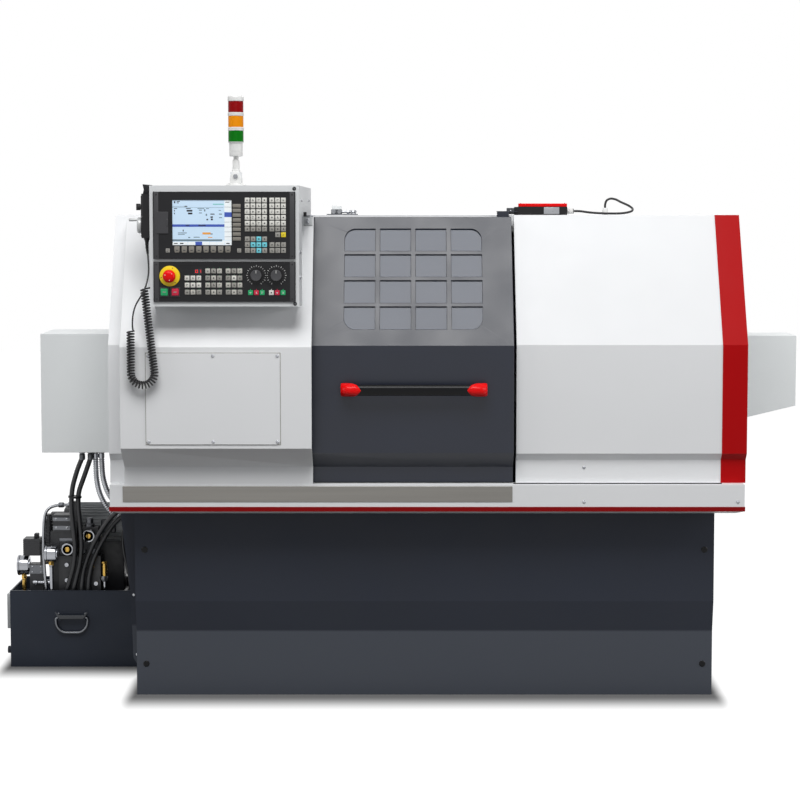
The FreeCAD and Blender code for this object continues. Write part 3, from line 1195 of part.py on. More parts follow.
def biarc(start, start_way, end, end_way):
    """Two arcs that join two points with their directions."""
    gap = end - start
    ways = start_way + end_way
    spread = 2 * (1 - start_way.dot(end_way))
    reach = (math.sqrt(gap.dot(ways) ** 2 + spread * gap.dot(gap)) - gap.dot(ways)) / spread
    joint = (start + end + (start_way - end_way) * reach) * 0.5
    second = arc_from(end, end_way * -1, joint)
    return [arc_from(start, start_way, joint), second]


def make_pendant_cord():
    """A thin lead, a hanging loop of curls and a short tail into the control box, all one cord."""
    wire, radius = s.cord_wire.value, s.curl_radius.value
    depth = s.cord_front.value
    left_x, right_x, turn_z = -875.0, -805.0, 1028.0
    top_left, lean = 1154.0, 0.115
    arm = (right_x - left_x) / 2
    centre = Vector((left_x + right_x) / 2, depth, turn_z)
    down, bend = top_left - turn_z, arm * (math.pi + lean)
    tail_height = 1278.0
    up = (tail_height - turn_z - arm * math.sin(lean)) / math.cos(lean)
    total = down + bend + up

    def spine(along):
        """The middle line of the curls: a point, its direction and the inward normal."""
        if along < down:
            return Vector(left_x, depth, top_left - along), Vector(0, 0, -1), Vector(1, 0, 0)
        if along < down + bend:
            turn = (along - down) / arm
            inward = Vector(math.cos(turn), 0, math.sin(turn))
            return centre - inward * arm, Vector(math.sin(turn), 0, -math.cos(turn)), inward
        turn = math.pi + lean
        inward = Vector(math.cos(turn), 0, math.sin(turn))
        way = Vector(math.sin(turn), 0, -math.cos(turn))
        return centre - inward * arm + way * (along - down - bend), way, inward

    turns = s.curl_count.value
    side = Vector(0, 1, 0)

    def curl(step):
        """A point of the curls at a number of turns, starting on the inner side of the loop."""
        middle, _, inward = spine(total * step / turns)
        angle = 2 * math.pi * step
        return middle + (inward * math.cos(angle) + side * math.sin(angle)) * radius

    def curl_way(step):
        nudge = 1e-4
        low, high = max(step - nudge, 0), min(step + nudge, turns)
        return (curl(high) - curl(low)).normalize()

    steps = [index / 2 for index in range(int(turns * 2) + 1)] + [turns]
    edges = []
    first, first_way = curl(0), curl_way(0)
    last, last_way = curl(turns), curl_way(turns)
    edges.append(Part.LineSegment(first - first_way * wire, first).toShape())
    for low, high in zip(steps, steps[1:]):
        edges += biarc(curl(low), curl_way(low), curl(high), curl_way(high))
    edges.append(Part.LineSegment(last, last + last_way * wire).toShape())
    path = Part.Wire(edges)
    solid = sweep(path, wire / 2)

    count = 24
    points = [curl(index / count) for index in range(int(turns) * count)]
    nearest = min((points[i] - points[j]).Length
                  for i in range(len(points)) for j in range(i + count // 2,
                                                             min(i + count * 2, len(points))))
    ratio = solid.Volume / (math.pi * wire ** 2 / 4 * path.Length)
    print(f"curly cord: length {path.Length:.0f}, least gap {nearest - wire:.2f}, volume ratio {ratio:.3f}")
    coil = DOC.addObject("Part::Feature", "cord_curls")
    coil.Shape = solid
    coil.Placement = Placement()

    start = first - first_way * wire
    case_x = (s.box_left - s.holder_thickness - s.pendant_thickness / 2).value
    case_y = (s.pendant_front + s.pendant_depth / 2).value
    low = s.pendant_low.value
    lead = tube("cord_lead", [
        (case_x, case_y, low), (case_x, case_y, low - 27), (case_x + 5, case_y - 12, low - 59),
        (case_x + 9, case_y - 27, low - 99), (case_x + 6, case_y - 47, low - 129),
        (case_x - 2, case_y - 58, low - 155), (case_x - 15, case_y - 63, low - 177),
        (case_x - 27, case_y - 65, low - 197),
        (start.x + 2, start.y - 24, start.z + 53), (start.x, start.y - 27, start.z + 29),
        (start.x, start.y - 24.7, start.z + 13), tuple(start - first_way * 14), tuple(start),
    ], s.cord_wire)
    end = last + last_way * wire
    wall = s.box_left.value
    corner = end + last_way * ((wall - 5 - end.x) / last_way.x)
    tail = tube("cord_tail", [tuple(end), tuple(corner), (wall, corner.y, corner.z)], s.cord_wire)
    node(group("pendant_cord", lead, coil, tail), "pendant_cord")


# ---------------------------------------------------------------- signal tower


def make_tower():
    x, y = s.tower_at, s.tower_depth
    pivot = s.box_high + s.pivot_rise
    half = s.pivot_block / 2
    block = box("mast_block", (x - 10, x + 10), (y - half, y + half), (pivot - 15, pivot + 16))
    shaft = rod("mast_shaft", "Z", (x, y, pivot + 10), s.mast_radius, s.mast_top - pivot - 10)
    neck = rod("mast_neck", "Z", (x, y, s.mast_top), s.neck_radius, s.lamp_base - s.mast_top)
    pitch = s.lens_height + s.ring_height
    body = turned("mast_lamp_base", "Z", (x, y, s.lamp_base), [
        (0, 0),
        (s.lamp_base_radius - 2, 0),
        (s.lamp_base_radius, 3),
        (s.lamp_base_radius, s.lens_start - s.lamp_base),
        (0, s.lens_start - s.lamp_base),
    ])
    core = rod("mast_core", "Z", (x, y, s.lens_start), s.tower_rod, pitch * 3)
    rings = []
    for index in range(2):
        rings.append(rod(f"mast_ring_{index}", "Z", (x, y, s.lens_start + s.lens_height + pitch * index),
                         s.ring_radius, s.ring_height))
    cap = turned("mast_cap", "Z", (x, y, s.lens_start + pitch * 2 + s.lens_height), [
        (0, 0),
        (s.ring_radius, 0),
        (s.ring_radius, s.cap_height * 0.7),
        (s.ring_radius * 0.9, s.cap_height),
        (0, s.cap_height),
    ])
    bore = rod("mast_bore", "Y", (x, y - half - 1, pivot), s.pivot_radius + s.clearance, half * 2 + 2)
    node(cut("tower_mast", fuse("mast_whole", block, shaft, neck, body, core, cap, *rings), bore),
         "tower_mast")
    for index, colour in enumerate(("green", "amber", "red")):
        inner = s.lens_radius - s.lens_wall
        node(turned(f"tower_{colour}", "Z", (x, y, s.lens_start + pitch * index), [
            (inner, 0),
            (s.lens_radius, 0),
            (s.lens_radius, s.lens_height),
            (inner, s.lens_height),
        ]), f"tower_{colour}")


# ---------------------------------------------------------------- bed, headstock and spindle


def make_bed():
    front, back, top = s.bed_front, s.bed_back, s.bed_high
    under_way = top - s.way_height
    casting = prism("bed_casting", "YZ", [
        (front, TRAY_FLOOR_TOP),
        (front, TRAY_FLOOR_TOP + 28),
        (front + s.web_inset, TRAY_FLOOR_TOP + 52),
        (front + s.web_inset, under_way - 20),
        (front, under_way),
        (front, top),
        (back, top),
        (back, under_way),
        (back - s.web_inset, under_way - 20),
        (back - s.web_inset, TRAY_FLOOR_TOP + 52),
        (back, TRAY_FLOOR_TOP + 28),
        (back, TRAY_FLOOR_TOP),
    ], s.bed_left, s.bed_right)
    trough = box("bed_trough", (s.headstock_right + 40, s.bed_right - 40),
                 (front + s.way_width, back - s.way_width),
                 (s.trough_low, top + 1))
    node(cut("machine_bed", casting, trough), "machine_bed")


def make_headstock():
    chamfer = s.headstock_chamfer
    block = prism("headstock_block", "YZ", [
        (s.headstock_front, s.bed_high),
        (s.headstock_back, s.bed_high),
        (s.headstock_back, HEADSTOCK_TOP - chamfer),
        (s.headstock_back - chamfer, HEADSTOCK_TOP),
        (s.headstock_front + chamfer, HEADSTOCK_TOP),
        (s.headstock_front, HEADSTOCK_TOP - chamfer),
    ], s.headstock_left, s.headstock_right)
    bore = rod("headstock_bore", "X", (s.headstock_left - 1, s.axis_depth, s.axis_height),
               s.spindle_radius + s.clearance, s.headstock_right - s.headstock_left + 2)
    relief = rod("headstock_relief", "X", (s.headstock_left + s.bearing_width, s.axis_depth, s.axis_height),
                 s.spindle_radius + s.bearing_relief,
                 s.headstock_right - s.headstock_left - s.bearing_width * 2)
    node(cut("headstock", block, bore, relief), "headstock")


def make_spindle():
    left = s.cylinder_left
    nose = s.spindle_nose
    node(turned("spindle", "X", (left, s.axis_depth, s.axis_height), [
        (s.spindle_bore, 0),
        (s.cylinder_radius, 0),
        (s.cylinder_radius, s.cylinder_right - left),
        (s.tail_radius, s.cylinder_right - left),
        (s.tail_radius, s.belt_left - left),
        (s.spindle_pulley, s.belt_left - left),
        (s.spindle_pulley, s.belt_left + s.belt_width - left),
        (s.tail_radius, s.belt_left + s.belt_width - left),
        (s.tail_radius, s.tail_start - left),
        (s.spindle_radius, s.tail_start - left),
        (s.spindle_radius, nose - s.nose_thickness - left),
        (s.nose_radius, nose - s.nose_thickness - left),
        (s.nose_radius, nose - left),
        (s.spindle_bore, nose - left),
    ]), "spindle")


JAW_ANGLES = (0, 120, 240)


def aim(item, angle):
    """Turns a piece drawn above the spindle line to its angle about that line."""
    item.Placement = Placement(Vector(), Rotation(Vector(1, 0, 0), angle))
    place(item, 0, s.axis_depth, s.axis_height)
    return item


def make_chuck():
    face = s.spindle_nose + s.chuck_depth
    body = turned("chuck_body", "X", (s.spindle_nose, s.axis_depth, s.axis_height), [
        (s.chuck_bore, 0),
        (s.chuck_radius - 3, 0),
        (s.chuck_radius, 3),
        (s.chuck_radius, s.chuck_depth - 6),
        (s.chuck_radius - 6, s.chuck_depth),
        (s.chuck_bore, s.chuck_depth),
    ])
    spare = s.clearance
    slots = []
    for index, angle in enumerate(JAW_ANGLES):
        half = s.jaw_key / 2 + spare
        slot = box(f"jaw_slot_{index}", (face - s.jaw_key_depth - spare, face + 1), (-half, half),
                   (0, s.chuck_radius + 5))
        slots.append(aim(fuse(f"jaw_slot_turned_{index}", slot, slot_end(index, face, half)), angle))
    node(cut("chuck", body, *slots), "chuck")
    for index, angle in enumerate(JAW_ANGLES):
        half, key = s.jaw_width / 2, s.jaw_key / 2
        block = box(f"jaw_block_{index}", (face + spare, face + s.jaw_height), (-half, half),
                    (s.jaw_inner, s.jaw_outer))
        step = box(f"jaw_step_{index}", (face + s.jaw_height - 14, face + s.jaw_height + 1),
                   (-half - 1, half + 1),
                   (s.jaw_inner + 24, s.jaw_outer + 1))
        key_bar = box(f"jaw_key_{index}", (face - s.jaw_key_depth, face + spare), (-key, key),
                      (s.jaw_inner + 4, s.jaw_outer - 4))
        jaw = fuse(f"jaw_joined_{index}", cut(f"jaw_stepped_{index}", block, step), key_bar)
        name = f"jaw_{index + 1}"
        node(aim(group(name, jaw), angle), name)


def slot_end(index, face, half):
    """The round inner end of a jaw slot."""
    return rod(f"jaw_slot_end_{index}", "X", (face - s.jaw_key_depth - s.clearance, 0, 0), half,
               s.jaw_key_depth + 2)


def make_spindle_drive():
    left, right = s.motor_left, s.motor_right
    depth, level = s.motor_depth, s.motor_height
    barrel = rod("motor_barrel", "X", (left, depth, level), s.motor_radius, right - left)
    cowl = rod("motor_cowl", "X", (right, depth, level), s.motor_radius - 8, 40)
    foot = box("motor_foot_plate", (left + 20, right - 20), (depth - 80, depth + 80),
               (TRAY_FLOOR_TOP, TRAY_FLOOR_TOP + s.motor_foot))
    seat = rod("motor_shaft_seat", "X", (left - 1, depth, level), s.motor_shaft + s.clearance,
               s.shaft_seat + 2)
    node(cut("spindle_motor", fuse("motor_whole", barrel, cowl, foot), seat), "spindle_motor")
    start = s.belt_left - 20
    node(turned("motor_pulley", "X", (start, depth, level), [
        (0, 0),
        (s.motor_shaft, 0),
        (s.motor_shaft, s.belt_left - start),
        (s.motor_pulley_radius, s.belt_left - start),
        (s.motor_pulley_radius, s.belt_left + s.belt_width - start),
        (s.motor_shaft, s.belt_left + s.belt_width - start),
        (s.motor_shaft, left + s.shaft_seat - start),
        (0, left + s.shaft_seat - start),
    ]), "motor_pulley")

    upper = Vector(0, s.axis_depth.value, s.axis_height.value)
    lower = Vector(0, depth.value, level.value)
    gap = lower - upper
    heading = math.atan2(gap.z, gap.y)

    def loop_face(extra):
        """The outline of a belt that wraps both pulleys, grown by an amount."""
        big, small = s.spindle_pulley.value + extra, s.motor_pulley_radius.value + extra
        swing = math.acos((big - small) / gap.Length)
        points = []
        for angle in (heading + swing, heading - swing):
            way = Vector(0, math.cos(angle), math.sin(angle))
            points.append((upper + way * big, lower + way * small))
        ahead = Vector(0, math.cos(heading), math.sin(heading))
        (top_a, top_b), (low_a, low_b) = points
        edges = [Part.LineSegment(top_a, top_b).toShape(),
                 Part.Arc(top_b, lower + ahead * small, low_b).toShape(),
                 Part.LineSegment(low_b, low_a).toShape(),
                 Part.Arc(low_a, upper - ahead * big, top_a).toShape()]
        return Part.Face(Part.Wire(edges))

    spare = s.clearance.value
    ring = loop_face(s.belt_thickness.value + spare).cut(loop_face(spare))
    belt = DOC.addObject("Part::Feature", "drive_belt")
    belt.Shape = ring.extrude(Vector(s.belt_width.value - 8, 0, 0))
    belt.Placement = Placement(Vector(s.belt_left.value + 4, 0, 0), Rotation())
    node(belt, "drive_belt")


def make_slides():
    left, right = s.saddle_left, s.saddle_left + s.saddle_length
    plate = box("saddle_plate", (left, right), (s.saddle_front, s.saddle_back),
                (s.bed_high + s.clearance, s.saddle_top))
    apron = box("saddle_apron", (left + s.apron_inset, right - s.apron_inset),
                (s.saddle_front, s.saddle_front + s.apron_thickness),
                (s.apron_low, s.bed_high + s.clearance))
    cross_motor = box("cross_motor", (left + 65, right - 65), (s.saddle_back, s.saddle_back + 90),
                      (s.bed_high + 5, s.saddle_top))
    nut = rod("saddle_nut", "X", (left, s.screw_depth, s.screw_height), s.screw_dia / 2 + s.clearance,
              s.saddle_length)
    node(cut("saddle", fuse("saddle_whole", plate, apron, cross_motor), nut), "saddle")

    floor = s.saddle_top + s.clearance
    slide = box("cross_slide_plate", (left + s.slide_inset, right - s.slide_inset),
                (s.slide_front, s.slide_back),
                (floor, floor + s.slide_thickness))
    middle = left + s.saddle_length / 2
    pedestal = rod("turret_base", "Z", (middle, s.turret_depth, floor + s.slide_thickness),
                   s.turret_base_radius,
                   s.turret_base_height)
    node(fuse("cross_slide", slide, pedestal), "cross_slide")

    base = floor + s.slide_thickness + s.turret_base_height + s.clearance
    half = s.turret_side / 2
    head = box("turret_block", (middle - half, middle + half),
               (s.turret_depth - half, s.turret_depth + half),
               (base, base + s.turret_height))
    hub = rod("turret_hub", "Z", (middle, s.turret_depth, base + s.turret_height), 22, 14)
    tools = []
    for index, (x, y) in enumerate(((1, 0), (0, 1), (-1, 0), (0, -1))):
        level = (base + s.turret_height - 34, base + s.turret_height - 34 + s.tool_side)
        side, reach = s.tool_side / 2, half + s.tool_reach
        shift = half - s.tool_side
        if x:
            across = (middle, middle + reach) if x > 0 else (middle - reach, middle)
            deep = (s.turret_depth - shift * x - side, s.turret_depth - shift * x + side)
        else:
            across = (middle + shift * y - side, middle + shift * y + side)
            deep = (s.turret_depth, s.turret_depth + reach) if y > 0 else (s.turret_depth - reach,
                                                                           s.turret_depth)
        tools.append(box(f"turning_tool_{index}", across, deep, level))
    node(fuse("turret_head", head, hub, *tools), "turret_head")


def make_z_drive():
    low, high = s.headstock_right, s.bed_right
    half = s.block_side / 2
    depth, level = s.screw_depth, s.screw_height
    screw = rod("screw_shaft", "X", (low, depth, level), s.screw_dia / 2, high - low)
    pieces = [screw]
    for index, x in enumerate((low, high - s.block_length)):
        pieces.append(box(f"screw_block_{index}", (x, x + s.block_length), (depth - half, s.bed_front),
                          (level - half, level + half)))
    side = s.servo_side / 2
    pieces.append(box("z_servo", (high, high + s.servo_length), (depth - side, depth + side),
                      (level - side, level + side)))
    node(fuse("z_drive", *pieces), "z_drive")


def make_tailstock():
    left, right = s.tail_left, s.tail_left + s.tail_length
    floor = s.bed_high + s.clearance
    middle = s.axis_depth
    body = prism("tailstock_body", "YZ", [
        (s.tail_front, floor),
        (s.tail_back, floor),
        (s.tail_back, floor + 40),
        (middle + 62, s.axis_height - 20),
        (middle + 62, TAILSTOCK_TOP - 30),
        (middle + 32, TAILSTOCK_TOP),
        (middle - 32, TAILSTOCK_TOP),
        (middle - 62, TAILSTOCK_TOP - 30),
        (middle - 62, s.axis_height - 20),
        (s.tail_front, floor + 40),
    ], left, right)
    bore = rod("quill_bore", "X", (left - 1, middle, s.axis_height), s.quill_radius + s.clearance,
               s.quill_seat + 1)
    node(cut("tailstock", body, bore), "tailstock")
    tip = left - s.quill_reach - s.centre_length
    node(turned("quill", "X", (tip, middle, s.axis_height), [
        (0, 0),
        (s.quill_radius * 0.5, s.centre_length * 0.5),
        (s.quill_radius * 0.5, s.centre_length),
        (s.quill_radius, s.centre_length),
        (s.quill_radius, left + s.quill_seat - s.quill_reach - tip),
        (0, left + s.quill_seat - s.quill_reach - tip),
    ]), "quill")


# ---------------------------------------------------------------- making and writing everything


def write_parts():
    DOC.recompute()
    for item in DOC.Objects:
        if {"Invalid", "Error"} & set(item.State):
            raise RuntimeError(f"{item.Name} did not build: {item.State}")
    for name, item in NODES.items():
        shape = item.Shape
        if shape.isNull() or not shape.isValid() or not shape.Solids:
            raise RuntimeError(f"{name} has no sound shape")
    os.makedirs("parts", exist_ok=True)
    for name, item in NODES.items():
        item.Shape.exportStep(f"parts/{name}.step")
    total = sum(item.Shape.Volume for item in NODES.values()) / 1e9
    print(f"{len(NODES)} nodes, {total:.3f} cubic metres of solid")


make_base_frame()
make_chip_tray()
make_trim()
make_left_front_cover()
make_access_panel()
make_cover_screws()
make_right_front_cover()
make_rear_housing()
make_end_boxes()
make_cabinet()
make_door_panel()
make_door_handle()
make_interlock_switch()
make_interlock_cable()
make_tank()
make_pump_unit()
make_manifold()
make_gauges()
make_hoses()
make_conduits()
make_panel_box()
make_control_panels()
make_panel_keys()
make_buttons()
make_pendant()
make_pendant_cord()
make_tower()
make_bed()
make_headstock()
make_spindle()
make_chuck()
make_spindle_drive()
make_slides()
make_z_drive()
make_tailstock()
write_parts()
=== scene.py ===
from itertools import product
from math import atan2, copysign, cos, degrees, pi, radians, sin, sqrt

import bmesh
import bpy
from mathutils import Matrix, Vector


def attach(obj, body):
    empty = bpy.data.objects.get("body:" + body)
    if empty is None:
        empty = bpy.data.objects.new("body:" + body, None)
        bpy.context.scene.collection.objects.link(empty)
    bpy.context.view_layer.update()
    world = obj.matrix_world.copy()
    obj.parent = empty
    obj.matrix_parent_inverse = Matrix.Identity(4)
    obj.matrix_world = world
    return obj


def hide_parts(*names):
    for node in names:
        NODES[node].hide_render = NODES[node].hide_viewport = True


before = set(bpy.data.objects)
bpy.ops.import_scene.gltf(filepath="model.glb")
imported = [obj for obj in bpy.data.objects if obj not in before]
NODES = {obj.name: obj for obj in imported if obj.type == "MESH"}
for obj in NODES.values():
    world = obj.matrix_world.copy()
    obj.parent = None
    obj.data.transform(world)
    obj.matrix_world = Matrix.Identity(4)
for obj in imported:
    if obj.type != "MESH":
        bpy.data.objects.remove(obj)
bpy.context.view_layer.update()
SCENE = bpy.context.scene

# The machine's front looks to minus Y.
LEFT, RIGHT, FRONT, BACK, DOWN, UP = (-1, 0, 0), (1, 0, 0), (0, -1, 0), (0, 1, 0), (0, 0, -1), (0, 0, 1)


# ---- camera, lamps and floor, in metres

PHOTO_PIXELS, FOCAL_PIXELS, SHIFT_PIXELS, SENSOR = 800, 1954, -57.4, 36
CAMERA_PLACE, CAMERA_TILT = (-0.076, -6.4, 1.5239), 86
FLOOR_HALF, FLOOR_DROP = 14.0, 0.0005
# The painted contact shadow on the floor: middles and half sides of the two feet, its reach, and how much shorter
# it is sideways.
FOOTPRINTS = ((0.0, 0.0, 0.9, 0.4), (-1.13, 0.12, 0.235, 0.13))
PAINTED_SHADOW_REACH, SIDE_PULL = 0.21, 4.0
# Name, place, target, sides and watts of each lamp.
LAMPS = (
    ("key", (-0.4, -3.4, 5.2), (0, -0.1, 0.9), (3.6, 2.4), 225),
    ("fill_left", (-5.0, -2.0, 2.2), (-0.6, 0, 0.8), (2.4, 2.4), 35),
    ("fill_right", (5.0, -2.4, 2.4), (0.8, 0, 0.8), (2.4, 2.4), 90),
    ("rear", (0.4, 4.6, 4.2), (0, 0.3, 0.9), (3.5, 2.5), 90),
)


def add(name, data):
    """Puts a new object with this data in the scene."""
    item = bpy.data.objects.new(name, data)
    SCENE.collection.objects.link(item)
    return item


def make_camera():
    data = bpy.data.cameras.new("camera")
    data.sensor_width = SENSOR
    data.lens = FOCAL_PIXELS / PHOTO_PIXELS * SENSOR
    data.shift_y = SHIFT_PIXELS / PHOTO_PIXELS
    data.clip_end = 200
    camera = add("camera", data)
    camera.location = CAMERA_PLACE
    camera.rotation_euler = (radians(CAMERA_TILT), 0, 0)
    SCENE.camera = camera


def make_lamps():
    for name, place, target, size, power in LAMPS:
        data = bpy.data.lights.new(name, "AREA")
        data.shape = "RECTANGLE"
        data.size, data.size_y = size
        data.energy = power
        item = add(name, data)
        item.location = place
        item.rotation_euler = (Vector(target) - Vector(place)).to_track_quat("-Z", "Y").to_euler()


def fill(tree, item, inputs):
    """Gives each named input of a node a constant, or links it to a socket."""
    for name, value in inputs.items():
        if isinstance(value, bpy.types.NodeSocket):
            tree.links.new(value, item.inputs[name])
        else:
            item.inputs[name].default_value = value


def node(tree, kind, inputs):
    item = tree.nodes.new("ShaderNode" + kind)
    fill(tree, item, inputs)
    return item


def combine(tree, operation, *terms):
    """A math node on sockets or numbers."""
    item = node(tree, "Math", dict(enumerate(terms)))
    item.operation = operation
    return item.outputs[0]


def blend(tree, share, first, second):
    """A colour between two that are constants or sockets."""
    item = tree.nodes.new("ShaderNodeMix")
    item.data_type = "RGBA"
    fill(tree, item, {0: share, 6: first, 7: second})
    return item.outputs[2]


def spread(tree, source, low, high, least=0.3, most=0.7):
    """A source that runs from least to most, mapped to run from low to high."""
    limits = {"From Min": least, "From Max": most, "To Min": low, "To Max": high}
    return node(tree, "MapRange", {"Value": source, **limits}).outputs["Result"]


def place_in(tree):
    """The object's own coordinates."""
    return tree.nodes.new("ShaderNodeTexCoord").outputs["Object"]


def from_footprint(tree, x, y, half_x, half_y):
    """How far a point of the floor lies from a rectangle."""
    parts = node(tree, "SeparateXYZ", {0: place_in(tree)}).outputs
    squares = []
    for output, middle, half, pull in (("X", x, half_x, SIDE_PULL), ("Y", y, half_y, 1.0)):
        off = combine(tree, "ABSOLUTE", combine(tree, "SUBTRACT", parts[output], middle))
        out = combine(tree, "MAXIMUM", combine(tree, "SUBTRACT", off, half), 0.0)
        out = combine(tree, "MULTIPLY", out, pull)
        squares.append(combine(tree, "MULTIPLY", out, out))
    return combine(tree, "POWER", combine(tree, "ADD", *squares), 0.5)


def backdrop(tree, shader, seen, output):
    """Shows one look to camera, gloss and see-through rays, and lights the part by the other."""
    rays = tree.nodes.new("ShaderNodeLightPath").outputs
    clear = combine(tree, "MAXIMUM", rays["Is Camera Ray"], rays["Is Transmission Ray"])
    mask = combine(tree, "MAXIMUM", clear, rays["Is Glossy Ray"])
    mix = node(tree, "MixShader", {0: mask, 1: shader.outputs[0], 2: seen.outputs[0]})
    tree.links.new(mix.outputs[0], tree.nodes[output].inputs["Surface"])


def make_stage():
    world = bpy.data.worlds.new("studio")
    world.use_nodes = True
    tree = world.node_tree
    base = tree.nodes["Background"]
    fill(tree, base, {"Color": (0.9, 0.93, 1.0, 1), "Strength": 0.16})
    backdrop(tree, base, node(tree, "Background", {"Color": (1, 1, 1, 1)}), "World Output")
    SCENE.world = world
    SCENE.view_settings.view_transform = "Standard"

    mesh = bpy.data.meshes.new("floor")
    corners = [(x * FLOOR_HALF, y * FLOOR_HALF, 0) for x, y in ((-1, -1), (1, -1), (1, 1), (-1, 1))]
    mesh.from_pydata(corners, [], [(0, 1, 2, 3)])
    floor = add("floor", mesh)
    floor.location.z = -FLOOR_DROP
    paper = bpy.data.materials.new("floor_paper")
    paper.use_nodes = True
    tree = paper.node_tree
    shader = tree.nodes["Principled BSDF"]
    fill(tree, shader, {"Base Color": (0.13, 0.13, 0.13, 1), "Roughness": 0.9})
    # Near the feet the floor's white glow fades out: a painted contact shadow.
    near = combine(tree, "MINIMUM", *(from_footprint(tree, *spot) for spot in FOOTPRINTS))
    painted_shadow_fade = spread(tree, near, 0.02, 1.0, 0.0, PAINTED_SHADOW_REACH)
    painted_shadow_fade.node.interpolation_type = "SMOOTHSTEP"
    glow = node(tree, "BsdfDiffuse", {"Color": (0.16, 0.16, 0.16, 1)})
    white = node(tree, "Emission", {"Color": (1, 1, 1, 1), "Strength": painted_shadow_fade})
    pale = node(tree, "AddShader", {0: glow.outputs[0], 1: white.outputs[0]})
    backdrop(tree, shader, pale, "Material Output")
    mesh.materials.append(paper)


# ---- materials

FOOT_BAND, COAT_ROUGHNESS = 0.004, 0.12
# The gloss varies by this share of itself, over patches this many times smaller than the colour's.
GLOSS_SWING, GLOSS_SCALE = 0.15, 4.3


def rgb(red, green, blue):
    """A colour given by its screen values, as the shader wants it."""
    levels = []
    for value in (red, green, blue):
        value /= 255
        levels.append(value / 12.92 if value <= 0.04045 else ((value + 0.055) / 1.055) ** 2.4)
    return (*levels, 1)


def pattern(tree, scale, stretch=(1, 1, 1), detail=3.0):
    """A noise over the object's own coordinates."""
    mapping = node(tree, "Mapping", {"Vector": place_in(tree), "Scale": stretch})
    noise = node(tree, "TexNoise", {"Vector": mapping.outputs["Vector"], "Scale": scale, "Detail": detail})
    return noise.outputs["Fac"]


def finish(name, screen, rough=0.4, tint=0.05, patch=3.0, grain=700.0, bump=0.08, metal=0.0, level=0.5,
              depth=0.0003, stretch=(1, 1, 1), coat=0.0, glow=0.0, scratch=0.0, foot=None):
    """A surface whose colour, gloss and relief all vary a little, each at its own scale.

    The colour is given by its screen values; the foot is another one, below a height in metres. On the stand the
    foot colour is painted light, a lighter lower face.
    """
    item = bpy.data.materials.new(name)
    item.use_nodes = True
    tree = item.node_tree
    color = rgb(*screen)
    darker = [c * (1 - tint) for c in color[:3]]
    lighter = [min(1, c * (1 + tint)) for c in color[:3]]
    tone = blend(tree, spread(tree, pattern(tree, patch, stretch), 0, 1), (*darker, 1), (*lighter, 1))
    if foot:
        lower_colour, height = foot
        lift = node(tree, "SeparateXYZ", {0: place_in(tree)}).outputs["Z"]
        below = spread(tree, lift, 1.0, 0.0, height - FOOT_BAND, height + FOOT_BAND)
        tone = blend(tree, below, tone, rgb(*lower_colour))
    swing = rough * GLOSS_SWING
    gloss = spread(tree, pattern(tree, patch * GLOSS_SCALE, stretch), rough - swing, min(1, rough + swing))
    grains = pattern(tree, grain, stretch, 2.0)
    relief = node(tree, "Bump", {"Height": grains, "Strength": bump, "Distance": depth})
    if scratch:
        lines = {"Height": pattern(tree, 260, (0.05, 1.6, 1.6), 4.0), "Normal": relief.outputs["Normal"]}
        relief = node(tree, "Bump", {"Strength": scratch, "Distance": depth, **lines})
    fill(tree, tree.nodes["Principled BSDF"], {"Base Color": tone, "Metallic": metal, "Roughness": gloss,
        "Normal": relief.outputs["Normal"], "Specular IOR Level": level, "Coat Weight": coat,
        "Coat Roughness": COAT_ROUGHNESS})
    if glow:
        fill(tree, tree.nodes["Principled BSDF"], {"Emission Color": color, "Emission Strength": glow})
    return item


def key_finish(name, screen, rough=0.46, tint=0.04, glow=0.0):
    return finish("key_" + name, screen, rough, tint=tint, patch=40, grain=900, glow=glow)


WHITE = finish("white_enamel", (236, 237, 238), 0.42, 0.012, 3, 420, 0.1, level=0.25, depth=0.0004)
BOX_GREY = finish("pale_grey_enamel", (232, 235, 235), 0.45, 0.02, 3, 420, 0.1)
PANEL_GREY = finish("control_box_enamel", (222, 224, 225), 0.4, 0.02, 3, 500, 0.12)
# The stand's paler foot colour below 0.202 m is painted light on its lower face, not a second paint.
STAND = finish("stand_enamel", (45, 49, 59), 0.36, 0.07, 1.6, 380, 0.14, level=0.17, foot=((74, 78, 86), 0.202))
DOOR = finish("door_enamel", (24, 29, 42), 0.34, 0.05, 1.8, 380, 0.12, level=0.47)
TANK = finish("tank_enamel", (46, 51, 61), 0.38, 0.1, 4, 380, 0.16, level=0.16)
RED = finish("red_enamel", (176, 10, 14), 0.38, 0.03, 3, 420, level=0.1, foot=((138, 14, 16), 0.64))
BRUSHED = finish("brushed_strip", (120, 118, 114), 0.36, 0.1, 14, 300, 0.12, metal=1, depth=0.0002, stretch=(0.06,
    3, 3))
STEEL = finish("ground_steel", (150, 152, 156), 0.3, 0.08, 9, 500, 0.06, metal=1, scratch=0.08)
DARK_STEEL = finish("oiled_steel", (104, 106, 110), 0.38, 0.16, 12, 500, 0.1, metal=1)
CHROME = finish("bright_plating", (158, 160, 165), 0.16, 0.03, 20, 200, 0.02, metal=1)
BRASS = finish("brass", (196, 160, 84), 0.28, 0.1, 30, 300, 0.05, metal=1)
IRON = finish("cast_iron", (86, 90, 95), 0.55, 0.12, 7, 240, 0.35, metal=0.35, depth=0.0006)
CASTING = finish("dark_casting", (34, 35, 38), 0.46, 0.2, 14, 260, 0.35)
PUMP = finish("pump_enamel", (52, 55, 60), 0.4, 0.12, 10, 300, 0.2)
BLACK = finish("black_plastic", (22, 22, 24), 0.44, 0.12, 16, 900, 0.18, level=0.25)
PLATE = finish("black_front_film", (30, 30, 32), 0.4, 0.06, 10, 1300, 0.1, level=0.2)
RAIL = finish("dark_grey_rail", (46, 46, 49), 0.42, 0.06, 3, 900, 0.15, level=0.45)
